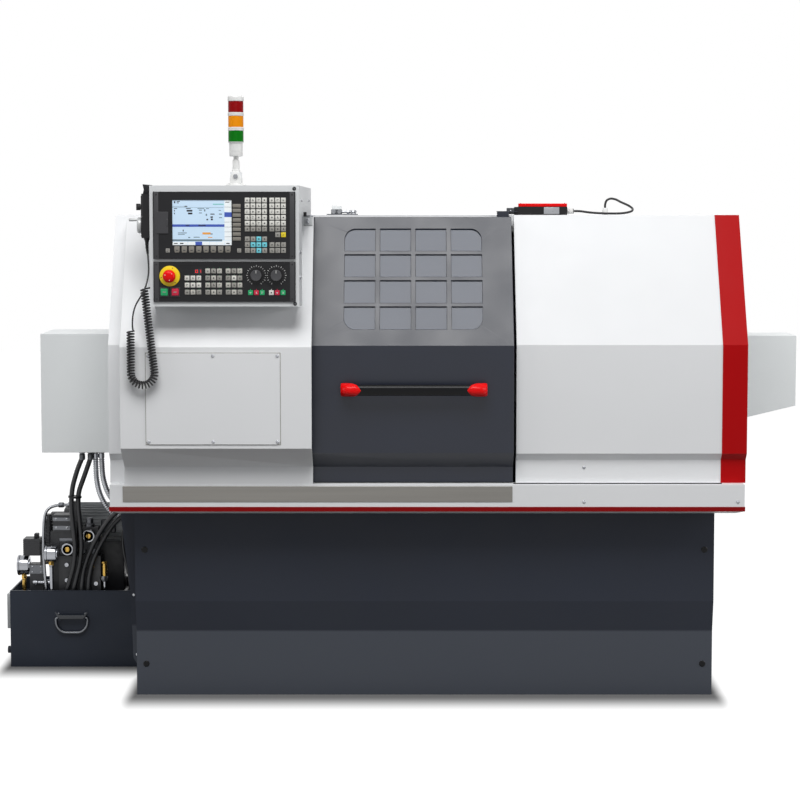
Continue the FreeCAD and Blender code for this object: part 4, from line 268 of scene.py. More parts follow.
GRIP = finish("handle_bar_black", (8, 9, 12), 0.22, 0.1, 20, 900, 0.05, level=0.16)
RUBBER = finish("black_rubber", (25, 25, 27), 0.5, 0.16, 30, 1100, 0.22, level=0.4)
HOSE = finish("hose_rubber", (30, 31, 34), 0.42, 0.25, 22, 600, 0.3)
RED_GLOSS = finish("red_gloss_plastic", (240, 16, 18), 0.24, 0.03, 3, 300, 0.03, level=0.1, coat=0.05)
YELLOW = finish("yellow_plastic", (246, 214, 20), 0.34, 0.03, 3, 600, 0.06)
WINDOW = finish("window_pane", (58, 66, 82), 0.16, 0.04, 2.2, 60, 0.02, level=0.3)
LAMP_WHITE = finish("lamp_white_plastic", (224, 224, 222), 0.38, 0.02, 12, 700, 0.06)
DIAL_TOP = finish("dial_top", (54, 54, 57), 0.42, 0.06, 30, 900, 0.12)
SILVER_WHITE = finish("pale_handwheel", (186, 188, 188), 0.34, 0.03, 30, 500, 0.05, metal=0.25)
FLEX = finish("corrugated_metal", (178, 180, 184), 0.32, 0.14, 26, 500, metal=1)
MOTOR_GREY = finish("motor_enamel", (176, 179, 180), 0.42, 0.05, 10, 320, 0.16)
SILVER = finish("silver_label", (160, 162, 166), 0.32, 0.05, 20, metal=0.85)
GAUGE_FACE = finish("gauge_face", (238, 238, 232), 0.4, 0.02)
MARK = finish("print_dark", (44, 44, 46), 0.5)
MARK_LIGHT = finish("print_light", (206, 206, 204), 0.5, 0.03)
DIGIT = finish("red_digit", (226, 40, 36), 0.3, 0.02, glow=0.6)
KEY_WHITE = key_finish("white", (222, 221, 214), tint=0.03)
KEY_GREY = key_finish("grey", (150, 148, 142))
KEY_PALE = key_finish("pale", (190, 188, 180))
KEY_SOFT = key_finish("softkey", (128, 124, 116), 0.5, 0.05)
KEY_CYAN = key_finish("cyan", (112, 206, 220), 0.42, 0.03)
KEY_YELLOW = key_finish("yellow", (238, 214, 40), 0.42, 0.03)
KEY_GREEN = key_finish("green", (20, 160, 96), 0.38, glow=0.05)
KEY_RED = key_finish("crimson", (196, 22, 60), 0.38, glow=0.05)
SCREEN = finish("display_ground", (196, 220, 240), 0.18, 0.015, 14, 2400, 0.02, glow=0.22)
TONES = {
    name: finish("display_" + name, screen, rough, tint=tint, glow=glow)
    for name, screen, rough, tint, glow in (
        ("white", (236, 242, 244), 0.18, 0.01, 0.2), ("blue", (58, 84, 176), 0.18, 0.03, 0.15),
        ("dark", (30, 34, 44), 0.2, 0.05, 0), ("grey", (112, 134, 146), 0.18, 0.03, 0.08),
        ("teal", (120, 196, 190), 0.2, 0.03, 0.15), ("amber", (232, 160, 70), 0.2, 0.03, 0.15))
}
LENSES = {
    name: finish("lens_" + name, screen, 0.18, level=0.08, grain=90, bump=0.03, glow=glow)
    for name, screen, glow in (
        ("green", (4, 112, 14), 0.05), ("amber", (228, 140, 10), 0.1), ("red", (140, 4, 8), 0.05))
}


# ---- mesh building, in millimetres


def frame_about(axis):
    """Three unit vectors: two across the axis and the axis itself."""
    along = Vector(axis).normalized()
    helper = Vector(UP) if abs(along.z) < 0.9 else Vector(RIGHT)
    across = helper.cross(along).normalized()
    return across, along.cross(across), along


def spin(place, turned, axis):
    """A turn about an axis, in degrees, then a move to a place."""
    return Matrix.Translation(place) @ Matrix.Rotation(radians(turned), 4, axis)


def circle(count):
    """Cosine and sine at even steps round a circle."""
    return [(cos(angle), sin(angle)) for angle in (2 * pi * step / count for step in range(count))]


class Build:
    """Gathers shapes and their materials into one piece that rides on a body."""

    def __init__(self, name, slot, *stands_for, body="machine"):
        self.name, self.body, self.slot, self.stands_for = name, body, slot, stands_for
        self.mesh, self.materials = bmesh.new(), []

    def take(self, part, material, bevel=0, steps=2, turn=None):
        bmesh.ops.recalc_face_normals(part, faces=part.faces[:])
        if bevel:
            bmesh.ops.bevel(part, geom=part.edges[:], offset=bevel, segments=steps, affect="EDGES", profile=0.5)
        if material not in self.materials:
            self.materials.append(material)
        for face in part.faces:
            face.material_index = self.materials.index(material)
            face.smooth = True
        if turn is not None:
            bmesh.ops.transform(part, matrix=turn, verts=part.verts)
        held = bpy.data.meshes.new("held")
        part.to_mesh(held)
        part.free()
        self.mesh.from_mesh(held)
        bpy.data.meshes.remove(held)

    def box(self, low, high, material, bevel=0.8, steps=2, turn=None):
        part = bmesh.new()
        bmesh.ops.create_cube(part, size=1)
        for vert in part.verts:
            vert.co = [a + (b - a) * (share + 0.5) for a, b, share in zip(low, high, vert.co)]
        self.take(part, material, bevel, steps, turn)

    def border(self, low, high, width, front, back, material, bevel):
        """Four strips along the inside of a rectangle of X and Z."""
        (left, bottom), (right, top) = low, high
        under, over = bottom + width, top - width
        for a, b, c, d in ((left, bottom, right, under), (left, over, right, top), (left, under, left + width,
                over), (right - width, under, right, over)):
            self.box((a, front, b), (c, back, d), material, bevel)

    def ticks(self, place, axis, angles, low, high, material, bevel=0, steps=2):
        """The same box turned about a place to each angle."""
        for angle in angles:
            self.box(low, high, material, bevel, steps, spin(place, angle, axis))

    def loft(self, rings, material, bevel=0):
        """Joins closed rings of points and caps both ends."""
        part = bmesh.new()
        rows = [[part.verts.new(point) for point in ring] for ring in rings]
        count = len(rows[0])
        for lower, upper in zip(rows, rows[1:]):
            for step in range(count):
                after = (step + 1) % count
                part.faces.new([lower[step], lower[after], upper[after], upper[step]])
        part.faces.new(rows[0])
        part.faces.new(rows[-1])
        self.take(part, material, bevel)

    def plate(self, outline, axis, low, high, material, bevel=0.8):
        """A flat outline given by two coordinates across an axis, as thick as its limits along it."""
        order = {"X": (2, 0, 1), "Y": (0, 2, 1)}[axis]
        rings = [[[(a, b, level)[i] for i in order] for a, b in outline] for level in (low, high)]
        self.loft(rings, material, bevel)

    def lathe(self, start, axis, profile, material, around=32, wave=0.0, waves=0):
        """Spins (radius, distance) corners about an axis; a wave makes flutes round the outside."""
        part = bmesh.new()
        u, v, w = frame_about(axis)
        rings = []
        for radius, height in profile:
            centre = Vector(start) + w * height
            if not radius:
                rings.append([part.verts.new(centre)])
                continue
            ring = []
            for step in range(around):
                angle = 2 * pi * step / around
                size = radius * (1 + wave * cos(waves * angle))
                ring.append(part.verts.new(centre + (u * cos(angle) + v * sin(angle)) * size))
            rings.append(ring)
        for lower, upper in zip(rings, rings[1:]):
            for step in range(around):
                after = (step + 1) % around
                corners = [lower[step % len(lower)], lower[after % len(lower)], upper[after % len(upper)],
                    upper[step % len(upper)]]
                unique = list(dict.fromkeys(corners))
                if len(unique) > 2:
                    part.faces.new(unique)
        for ring in (rings[0], rings[-1]):
            if len(ring) > 1:
                part.faces.new(ring)
        self.take(part, material)

    def turned(self, start, axis, profile, *rest):
        """A lathe shape whose flat ends reach the axis."""
        self.lathe(start, axis, [(0, profile[0][1]), *profile, (0, profile[-1][1])], *rest)

    def pipe(self, points, radius, material, around=16):
        """A round tube along points; radius is a number or a function of the distance run."""
        points = [Vector(point) for point in points]
        rings, travelled = [], 0.0
        across = frame_about(points[1] - points[0])[0]
        for index, point in enumerate(points):
            before, after = points[max(index - 1, 0)], points[min(index + 1, len(points) - 1)]
            along = (after - before).normalized()
            across = (across - along * across.dot(along)).normalized()
            other = along.cross(across)
            if index:
                travelled += (point - before).length
            size = radius(travelled) if callable(radius) else radius
            rings.append([point + (across * c + other * s) * size for c, s in circle(around)])
        self.loft(rings, material)

    def nut(self, at, axis, radius, height, material):
        """A hexagon with chamfered ends."""
        rim = radius * 0.86
        self.turned(at, axis, [(rim, 0), (radius, height * 0.15), (radius, height * 0.85), (rim, height)],
            material, 6)

    def screw(self, at, axis, radius, material=STEEL):
        """A button head with a hexagon socket, standing on a face."""
        for tone, around, profile in ((material, 20, ((1, 0), (0.92, 0.3), (0.62, 0.52), (0.42, 0.54), (0,
                0.54))), (MARK, 6, ((0.4, 0.5), (0.38, 0.6), (0, 0.6)))):
            self.lathe(at, axis, [(radius * a, radius * b) for a, b in profile], tone, around)

    def screws(self, xs, ys, zs, *rest):
        for place in product(xs, ys, zs):
            self.screw(place, *rest)

    def done(self, sharp=32):
        for vert in self.mesh.verts:
            vert.co /= 1000
        data = bpy.data.meshes.new(self.name)
        self.mesh.to_mesh(data)
        self.mesh.free()
        for material in self.materials:
            data.materials.append(material)
        data.set_sharp_from_angle(angle=radians(sharp))
        item = add(self.name, data)
        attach(item, self.body)
        if self.stands_for:
            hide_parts(*self.stands_for)
        return item


def route_curve(name, points, resolution=8, radius=0.0):
    """A smooth curve in metres whose control points are the route's points in millimetres."""
    data = bpy.data.curves.new(name, "CURVE")
    data.dimensions = "3D"
    data.resolution_u = resolution
    data.bevel_depth = radius / 1000
    data.use_fill_caps = True
    spline = data.splines.new("NURBS")
    spline.points.add(len(points) - 1)
    for point, place in zip(spline.points, points):
        point.co = (*(value / 1000 for value in place), 1)
    spline.order_u = 3
    spline.use_endpoint_u = True
    return add(name, data)


def smooth_line(points, resolution=8):
    """Points in millimetres along the smooth curve of a route."""
    item = route_curve("line", points, resolution)
    bpy.context.view_layer.update()
    mesh = bpy.data.meshes.new_from_object(item)
    line = [vert.co * 1000 for vert in mesh.vertices]
    data = item.data
    bpy.data.objects.remove(item)
    bpy.data.curves.remove(data)
    bpy.data.meshes.remove(mesh)
    return line


def evenly(line, step):
    """The same line with points a fixed distance apart."""
    out, left = [line[0]], step
    for start, end in zip(line, line[1:]):
        run = (end - start).length
        while left < run:
            out.append(start.lerp(end, left / run))
            left += step
        left -= run
    out.append(line[-1])
    return out


# ---- curly cord of the hand pendant

LEAD = [(-828.5, -585, 1429), (-828.5, -585, 1402), (-823.5, -597, 1370), (-819.5, -612, 1330),
        (-822.5, -632, 1300), (-830.5, -643, 1274), (-843.5, -648, 1252), (-855.5, -650, 1232)]
CURL_TURNS, CURL_RADIUS, CURL_POINTS, WIRE = 58.25, 10.19, 16, 4.8
LIMB_X, LIMB_TOP, LOOP_X, LOOP_Z, LOOP_RADIUS, CORD_Y, LEAN = -875, 1154, -840, 1028, 35, -619, 0.115
END_RADIUS, END_TOP, END_X, BOX_X = 10, 1278, -818, -813


def curl_point(step, radius=CURL_RADIUS):
    """A point of the curls at a number of turns from their start."""
    down = LIMB_TOP - LOOP_Z
    bend = LOOP_RADIUS * (pi + LEAN)
    up = (END_TOP - LOOP_Z - LOOP_RADIUS * sin(LEAN)) / cos(LEAN)
    along = (down + bend + up) * step / CURL_TURNS
    centre = Vector((LOOP_X, CORD_Y, LOOP_Z))
    if along < down:
        middle, inward = Vector((LIMB_X, CORD_Y, LIMB_TOP - along)), Vector(RIGHT)
    else:
        turn = min((along - down) / LOOP_RADIUS, pi + LEAN)
        inward = Vector((cos(turn), 0, sin(turn)))
        way = Vector((sin(turn), 0, -cos(turn)))
        middle = centre - inward * LOOP_RADIUS + way * max(along - down - bend, 0)
    angle = 2 * pi * step
    return middle + (inward * cos(angle) + Vector(BACK) * sin(angle)) * radius


def end_way(before, after):
    """Which way the wire runs between two near points of the curls."""
    return (curl_point(after, END_RADIUS) - curl_point(before, END_RADIUS)).normalized()


def make_cord():
    first_way, last_way = end_way(0, 0.001), end_way(CURL_TURNS - 0.001, CURL_TURNS)
    start = curl_point(0, END_RADIUS) - first_way * WIRE
    points = LEAD + [start + Vector(step) for step in ((2, -24, 53), (0, -27, 29), (0, -24.7, 13))]
    points.append(start - first_way * 14)
    points += [curl_point(step / CURL_POINTS) for step in range(int(CURL_TURNS * CURL_POINTS) + 1)]
    end = curl_point(CURL_TURNS, END_RADIUS) + last_way * WIRE
    points += [end, end + last_way * ((END_X - end.x) / last_way.x)]
    points.append((BOX_X, points[-1].y, points[-1].z))
    cord = route_curve("curly_cord", points, 3, WIRE / 2)
    cord.data.bevel_resolution = 3
    cord.data.materials.append(RUBBER)
    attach(cord, "machine")
    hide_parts("pendant_cord")

    relief = Build("cord_strain_relief", "cable_black")
    line = evenly(smooth_line(LEAD), 2.5)[:20]
    relief.pipe(line, lambda run: 6.2 - run * 0.062 + (0.35 if int(run / 5) % 2 else 0), BLACK, 20)
    relief.turned((-828.5, -585, 1430.5), DOWN, [(9, 0), (9, 5), (7.4, 8)], BLACK, 24)
    sleeve = relief.done()


# ---- CAD pieces that stay

KEPT = {
    WHITE: "chip_tray left_front_cover access_panel right_front_cover rear_housing",
    BOX_GREY: "spindle_end_box right_end_box electrical_cabinet cabinet_door",
    STAND: "base_frame",
    DOOR: "door_panel",
    WINDOW: "door_window",
    BRUSHED: "tray_steel_strip",
    RED: "red_trim",
    STEEL: "cover_screws spindle quill z_drive motor_pulley",
    BLACK: "interlock_switch pendant_body",
    RAIL: "port_flap",
    RUBBER: "interlock_cable drive_belt",
    TANK: "hydraulic_tank",
    PUMP: "headstock spindle_motor tailstock",
    CASTING: "valve_manifold",
    HOSE: "hydraulic_hoses",
    PANEL_GREY: "panel_box",
    PLATE: "control_panels",
    SCREEN: "screen",
    IRON: "machine_bed saddle cross_slide",
    DARK_STEEL: "tank_bail chuck jaw_1 jaw_2 jaw_3 turret_head",
}
# Round and thin pieces, which get no bevel.
SHARP = "interlock_cable hydraulic_hoses screen drive_belt cover_screws tank_bail red_trim door_window"
EDGE_WIDTH, WELD_GAP = 0.0012, 0.00001


def dress_nodes():
    for material, names in KEPT.items():
        for name in names.split():
            item = NODES[name]
            if not item.material_slots:
                item.data.materials.append(None)
            for entry in item.material_slots:
                entry.link = "OBJECT"
                entry.material = material
            weld = item.modifiers.new("weld", "WELD")
            weld.merge_threshold = WELD_GAP
            if name not in SHARP.split():
                bevel = item.modifiers.new("bevel", "BEVEL")
                bevel.width = EDGE_WIDTH
                bevel.segments = 2
                bevel.limit_method = "ANGLE"
                bevel.angle_limit = radians(32)
                bevel.harden_normals = True


# ---- door handle

HANDLE_Y, HANDLE_Z, CAP_LENGTH = -570.0, 973.0, 62
CAP_SHARES = (0, 0.015, 0.05, 0.12, 0.22, 0.34, 0.46, 0.56, 0.66, 0.75, 0.83, 0.9, 0.95, 0.98, 0.995, 1)


def rounded_ring(x, y, half_depth, half_height, power):
    """A closed ring across X between an ellipse and a rectangle."""
    ring = []
    for c, s in circle(36):
        ring.append(Vector((x, y + copysign(abs(c) ** (2 / power), c) * half_depth,
            HANDLE_Z + copysign(abs(s) ** (2 / power), s) * half_height)))
    return ring


def make_handle():
    bar = Build("handle_bar", "black_plastic", "door_handle", body="door")
    bar.loft([rounded_ring(x, HANDLE_Y, 11.9, 16.4, 2.1) for x in range(-222, 156, 14)], GRIP)
    bar.done(50)
    caps = Build("handle_caps", "red_plastic", "handle_ends", body="door")
    for side, outer in ((1, -254.0), (-1, 186.0)):
        rings = []
        for share in CAP_SHARES:
            swell = 0.84 + 0.16 * sqrt(1 - (1 - min(1, share / 0.12)) ** 2)
            nose = sqrt(max(0.0016, 1 - max(0, (share - 0.4) / 0.6) ** 2))
            front = -572 - 13.8 * sin(min(1, share / 0.36) * pi / 2) + 5.2 * (1 - nose)
            back = -530.2 - 30 * min(1, max(0, share - 0.46) / 0.3)
            x, high = outer + side * share * CAP_LENGTH, 20.4 * swell * nose
            rings.append(rounded_ring(x, (front + back) / 2, (back - front) / 2, high, 2.15))
        caps.loft(rings, RED_GLOSS)
        left, right = sorted((outer + side * 4, outer + side * 38))
        caps.box((left, -533, 955), (right, -530, 991), BLACK)
    caps.done(50)


# ---- control box

PANEL, KEY_FACE, PITCH, BOX_SIDE = -646, -648, 16.95, (0.9917, -0.129, 0)
SCREEN_LEFT, SCREEN_TOP, SCREEN_FACE, DIGIT_SCALE = -745, 1541, -645, 1.45
# Marks on the keys, from a key's middle: left, low, right and high of each bar. The fourth mark is a disc.
MARKS = (
    ((-2.6, -1, 2.6, 1.1), (-1.2, -3.2, 1.2, -1.8)),
    ((-1, -3, 1, 3), (1.8, -3, 3, -0.4)),
    ((-3, 1.4, 3, 2.8), (-3, -2.6, 0.6, -1.2)),
    (),
)
SOFTKEY = ((-6.4, -9.5), (6.4, -9.5), (8, -3), (8, 9.5), (-8, 9.5), (-8, -3))
DIGIT_BARS = {"a": (0, 5, 5, 6), "b": (4, 3, 5, 6), "c": (4, 0, 5, 3), "d": (0, 0, 5, 1), "e": (0, 0, 1, 3),
              "f": (0, 3, 1, 6)}
# Rectangles of the picture on the screen: left, top, right and bottom from its upper left corner.
DISPLAY = {
    "white": ((152.9, 0, 174, 20), (152.9, 20.8, 174, 34.4), (152.9, 50.4, 174, 64), (152.9, 64.8, 174, 78.4),
        (152.9, 79.2, 174, 92.8), (152.9, 93.6, 174, 107.2), (152.9, 108, 174, 117), (146, 118, 174, 122),
        (0, 122, 18.6, 132), (19.4, 122, 44, 132), (44.8, 122, 66, 132), (87.5, 122, 108, 132),
        (108.8, 122, 130, 132), (130.8, 122, 152, 132), (152.8, 122, 174, 132)),
    "blue": ((152.9, 35.6, 174, 49.6), (0, 71, 152.9, 78.4), (67, 122, 86.7, 132)),
    "dark": ((152.9, 20, 174, 20.8), (152.9, 64, 174, 64.8), (152.9, 78.4, 174, 79.2),
        (152.9, 92.8, 174, 93.6), (152.9, 107.2, 174, 108), (38, 72.6, 50, 75), (76, 72.6, 98, 75.4),
        (4, 126, 15, 128.5), (22, 125.6, 32, 129), (158, 125.6, 168, 128.5), (5, 3, 9, 9), (13, 3, 22, 5),
        (13, 7, 19, 9), (156, 5, 168, 7), (36, 16.8, 44, 19.4), (5, 23.6, 14, 25.6), (40, 23.6, 54, 25.6),
        (5, 29, 7.5, 33), (42, 28.6, 59, 33.6), (5, 37, 7.5, 41), (46, 36.6, 59, 41.6), (112, 39.6, 124, 42.4),
        (112, 47.6, 119, 52), (100, 55, 105, 59), (113, 54, 119, 59), (30, 86.6, 33, 92), (112, 98, 118, 100.4)),
    "grey": ((0, 115, 146, 120.6), (0, 17.6, 40, 18.6), (0, 21.4, 150, 22.2), (74, 23.6, 94, 25.6),
        (99, 23.6, 108, 25.6), (78, 28, 87, 30.6), (93, 27, 97, 33), (136, 29, 143, 31), (78, 36.4, 87, 38.8),
        (98, 40, 102, 46), (137, 39.6, 146, 42.4), (137, 50, 146, 52.4), (16, 95, 42, 97.4),
        (16, 99.6, 36, 101.6), (46, 108, 52, 111), (62, 107.6, 80, 110)),
    "teal": ((119, 10.6, 151, 13.4),),
    "amber": ((88, 94.6, 112, 100.6), (104, 108, 117, 110.4)),
}


def keys_of(left, top, pitch, rows, columns, row_pitch=None):
    """Row, column and middle of each key of a block, from the upper left key on."""
    for row in range(rows):
        for column in range(columns):
            yield row, column, left + pitch * column, top - (row_pitch or pitch) * row


def key_cap(build, x, z, material, kind, mark=MARK, wide=14.2):
    half = wide / 2
    build.box((x - half, KEY_FACE, z - half), (x + half, PANEL, z + half), material, 0.9)
    for left, low, right, high in MARKS[kind % 4]:
        build.box((x + left, KEY_FACE - 0.12, z + low), (x + right, KEY_FACE + 0.1, z + high), mark, 0)
    if kind % 4 == 3:
        build.turned((x, KEY_FACE + 0.1, z), FRONT, [(2.3, 0.22), (2.3, 0)], mark, 12)


def make_keys():
    keys = Build("film_keys", "key_white", "panel_keys")
    for row, column, x, z in keys_of(-525, 1541, PITCH, 6, 4):
        key_cap(keys, x, z, KEY_GREY if row == 5 else KEY_WHITE, row * 3 + column)
    for row, column, x, z in keys_of(-452.5, 1541, PITCH, 7, 3):
        if (row, column) != (6, 0):
            tone = KEY_YELLOW if (row, column) == (6, 2) else KEY_GREY if row > 4 else KEY_WHITE
            key_cap(keys, x, z, tone, row + column * 2)
    for row, column, x, z in keys_of(-525, 1427, PITCH, 3, 4):
        lit = (row, column) in {(0, 2), (1, 1), (1, 2), (1, 3), (2, 2)}
        key_cap(keys, x, z, KEY_CYAN if lit else KEY_GREY, 3 if lit else row + column)
    for row, column, x, z in keys_of(-452.5, 1427 - PITCH, PITCH, 2, 3):
        key_cap(keys, x, z, KEY_GREY, row + column)
    for _, _, x, z in keys_of(-556, 1524.3, 13.85, 8, 1):
        keys.box((x - 12, KEY_FACE, z - 5.3), (x + 12, PANEL, z + 5.3), KEY_SOFT, 1.1)
    for _, _, x, z in keys_of(-732, 1396.5, 21.4, 1, 8):
        keys.plate([(x + a, z + b) for a, b in SOFTKEY], "Y", KEY_FACE, PANEL, KEY_SOFT, 0.9)
        keys.box((x - 3.4, KEY_FACE - 0.12, z - 4), (x + 3.4, KEY_FACE + 0.1, z - 1.5), MARK, 0)
    for x in (-759, -549):
        key_cap(keys, x, 1393.1, KEY_GREY, 2, wide=12)
    for left, top, rows in ((-703, 1312.2, 3), (-642, 1333, 4), (-582, 1333, 4)):
        for row, column, x, z in keys_of(left, top, 17.2, rows, 3, 20.8):
            bright = left == -703 and row < 2 or left == -582 and (row, column) == (1, 1)
            tone = KEY_WHITE if bright else KEY_GREY if (row + column + left) % 2 else KEY_PALE
            key_cap(keys, x, z, tone, row * 2 + column)
            keys.box((x - 1.2, PANEL - 0.3, z + 8), (x + 1.2, PANEL, z + 8.8), KEY_GREEN, 0)
    tones = (KEY_GREEN, KEY_RED, KEY_GREEN, KEY_WHITE, KEY_RED, KEY_GREEN)
    for index, (x, tone) in enumerate(zip((-516.5, -499.3, -482.1, -455, -437.8, -420.6), tones)):
        key_cap(keys, x, 1269, tone, index, MARK if tone is KEY_WHITE else MARK_LIGHT)
        keys.turned((x, PANEL, 1278.4), FRONT, [(1.4, 0), (1.2, 0.5)], tone, 10)
    keys.done()


def make_display():
    lines = Build("display_picture", "screen_blue")
    for tone, spots in DISPLAY.items():
        for left, top, right, low in spots:
            proud = 0.16 if tone in ("white", "blue", "grey") and right - left > 9 else 0.24
            lines.box((SCREEN_LEFT + left, SCREEN_FACE - proud, SCREEN_TOP - low), (SCREEN_LEFT + right,
                SCREEN_FACE + 0.1, SCREEN_TOP - top), TONES[tone], 0)
    lines.box((-681, PANEL - 0.5, 1324.5), (-660, PANEL, 1339), TONES["dark"], 0.3)
    for x, bars in ((-678.5, "abcdef"), (-669.1, "bc")):
        for bar in bars:
            a, b, c, d = (value * DIGIT_SCALE for value in DIGIT_BARS[bar])
            lines.box((x + a, PANEL - 0.8, 1327.6 + b), (x + c, PANEL - 0.4, 1327.6 + d), DIGIT, 0)
    lines.border((-747.5, 1406.5), (-568.5, 1543.5), 2.5, PANEL - 0.7, PANEL, BLACK, 0.25)
    lines.done()


def make_buttons():
    stop = Build("stop_mushroom", "red_plastic", "estop_button", body="estop")
    middle = Vector((-754, -676, 1318))
    stop.lathe(middle, BACK, [(0, 0), (6, 0.25), (10.5, 1.1), (14.4, 2.9), (17.2, 5.6), (18.6, 8.8), (19, 11.5),
        (18.4, 13.4), (17, 14), (9.7, 14)], RED_GLOSS, 48)
    stop.lathe(middle, BACK, [(9.7, 13.8), (9.7, 24), (9.2, 31), (0, 31)], RED_GLOSS, 36)
    for angle in map(radians, (40, 160, 280)):
        place = middle + Vector((11.6 * cos(angle), 1, 11.6 * sin(angle)))
        stop.lathe(place, FRONT, [(1.6, -0.8), (1.4, 0.35), (0, 0.4)], KEY_WHITE, 8)
    stop.done(40)
    ring = Build("stop_collar_ring", "amber_plastic")
    ring.lathe((-754, PANEL, 1318), FRONT, [(30.4, 0), (30.4, 3.1), (29.6, 4.4), (22, 6.7), (20.6, 6.9), (12.4,
        6.9), (12, 6.5), (12, 6)], YELLOW, 64)
    ring.ticks((-754, PANEL - 5.9, 1318), "Y", (20, 140, 260), (-1.2, -0.3, 22.5), (1.2, 0.2, 26.5), MARK)
    ring.done(40)
    for name, slot, replaced, body, x, tone in (("start_key", "green_plastic", "start_button", "start", -770,
            KEY_GREEN), ("halt_key", "red_plastic", "stop_button", "stop", -738, KEY_RED)):
        key = Build(name, slot, replaced, body=body)
        key.box((x - 10.4, -654, 1260.6), (x + 10.4, -643, 1281.4), tone, 1.6, 3)
        key.box((x - 6.5, -654.25, 1264.5), (x + 6.5, -653.9, 1277.5), tone, 0.1)
        key.box((x - 4.5, -654.5, 1269.5), (x + 4.5, -654.1, 1272.5), KEY_GREY, 0)
        key.done()
    frames = Build("button_frames", "panel_black")
    for x in (-770, -738):
        frames.border((x - 14, 1257), (x + 14, 1285), 2.8, PANEL - 2.4, PANEL, RAIL, 0.5)
    for left, right in ((-799.5, -786), (-400, -386.5)):
        for low, high in ((1368.5, 1565.5), (1242.5, 1360.5)):
            frames.box((left, PANEL - 0.7, low), (right, PANEL, high), RAIL, 0.3)
            frames.screws([(left + right) / 2], [PANEL - 0.7], (low + 8, high - 8), FRONT, 2.6, BLACK)
    for x in (-499, -440):
        frames.turned((x, PANEL, 1320), FRONT, [(24.5, 0), (24, 0.5), (18.6, 0.7)], BLACK, 64)
        for first, end in ((-150, 30.2), (-135, 28.2)):
            frames.ticks((x, PANEL - 0.05, 1320), "Y", range(first, 151, 30), (-0.75, -0.3, 25.6), (0.75, 0, end),
                MARK_LIGHT)
    frames.done()
    for name, replaced, body, x in (("feed_knob_dial", "feed_dial", "feed_knob", -499), ("speed_knob_dial",
            "spindle_dial", "spindle_knob", -440)):
        knob = Build(name, "black_plastic", replaced, body=body)
        top = [(0, 0.5), (13.2, 0.4), (14.6, 0), (15.8, 0.8), (16.3, 2.4)]
        skirt = [(16.1, 2.2), (16.9, 8), (17.2, 15.2), (16.4, 16), (4, 16), (4, 21.8), (0, 21.8)]
        knob.lathe((x, -662.3, 1320), BACK, top, DIAL_TOP, 144, 0.02, 24)
        knob.lathe((x, -662.3, 1320), BACK, skirt, BLACK, 144, 0.025, 24)
        knob.box((x - 0.9, -662.7, 1326), (x + 0.9, -661.6, 1334.6), MARK_LIGHT, 0.2)
        knob.done(28)


def make_box_fittings():
    bits = Build("control_box_fittings", "black_plastic")
    for x, z in ((-386.8, 1574.8), (-385.3, 1236)):
        bits.lathe((x, -640, z), FRONT, [(5.4, 0), (5.4, 1.4), (4.6, 2), (2.4, 2), (2.2, 0.9), (0, 0.9)], BLACK,
            28)
        bits.box((x - 0.7, -642.2, z - 2.4), (x + 0.7, -641, z + 2.4), CHROME, 0.2)
    bits.screws([-371.2], [-628], (1388, 1313), BOX_SIDE, 6)
    for x, y in ((-367.8, -600), (-352.2, -480)):
        bits.screw((x, y, 1540), BOX_SIDE, 4.2)
    bits.box((-364, -567, 1493), (-354.5, -553, 1506), BLACK, 1.2)
    bits.done()
    stand = Build("stand_plugs", "black_plastic")
    for x in (-868, 868):
        for y, z in ((-400, 461), (-380, 98)):
            stand.lathe((x, y, z), FRONT, [(9.6, 0), (9.6, 1.4), (8, 2.4), (0, 2.4)], GRIP, 32)
    stand.done()
    seam = Build("access_panel_seam", "cover_grey")
    seam.border((-836, 811), (-432, 1088), 2, -595.9, -594.9, KEY_GREY, 0)
    # The seal between the right front cover and the tray's rim.
    seam.box((269, -506, 681), (902, -500, 684), RAIL, 0)
    seam.done()
    foot = Build("tower_foot_cover", "light_metal")
    foot.lathe((-564, -560, 1584), UP, [(29.5, 0), (29.5, 3), (28, 4.6), (24, 5.2), (23.6, 7.4), (22.4, 8.2), (0,
        8.2)], LAMP_WHITE, 48)
    for front in (-583, -541.9):
        foot.plate([(-581, 1586), (-547, 1586), (-547, 1606), (-551.5, 1618), (-558, 1624.5), (-570, 1624.5),
            (-576.5, 1618), (-581, 1606)], "Y", front, front + 4.9, LAMP_WHITE)
    foot.nut((-564, -583.1, 1612), FRONT, 7.4, 4.2, STEEL)
    foot.done()


# ---- hand pendant


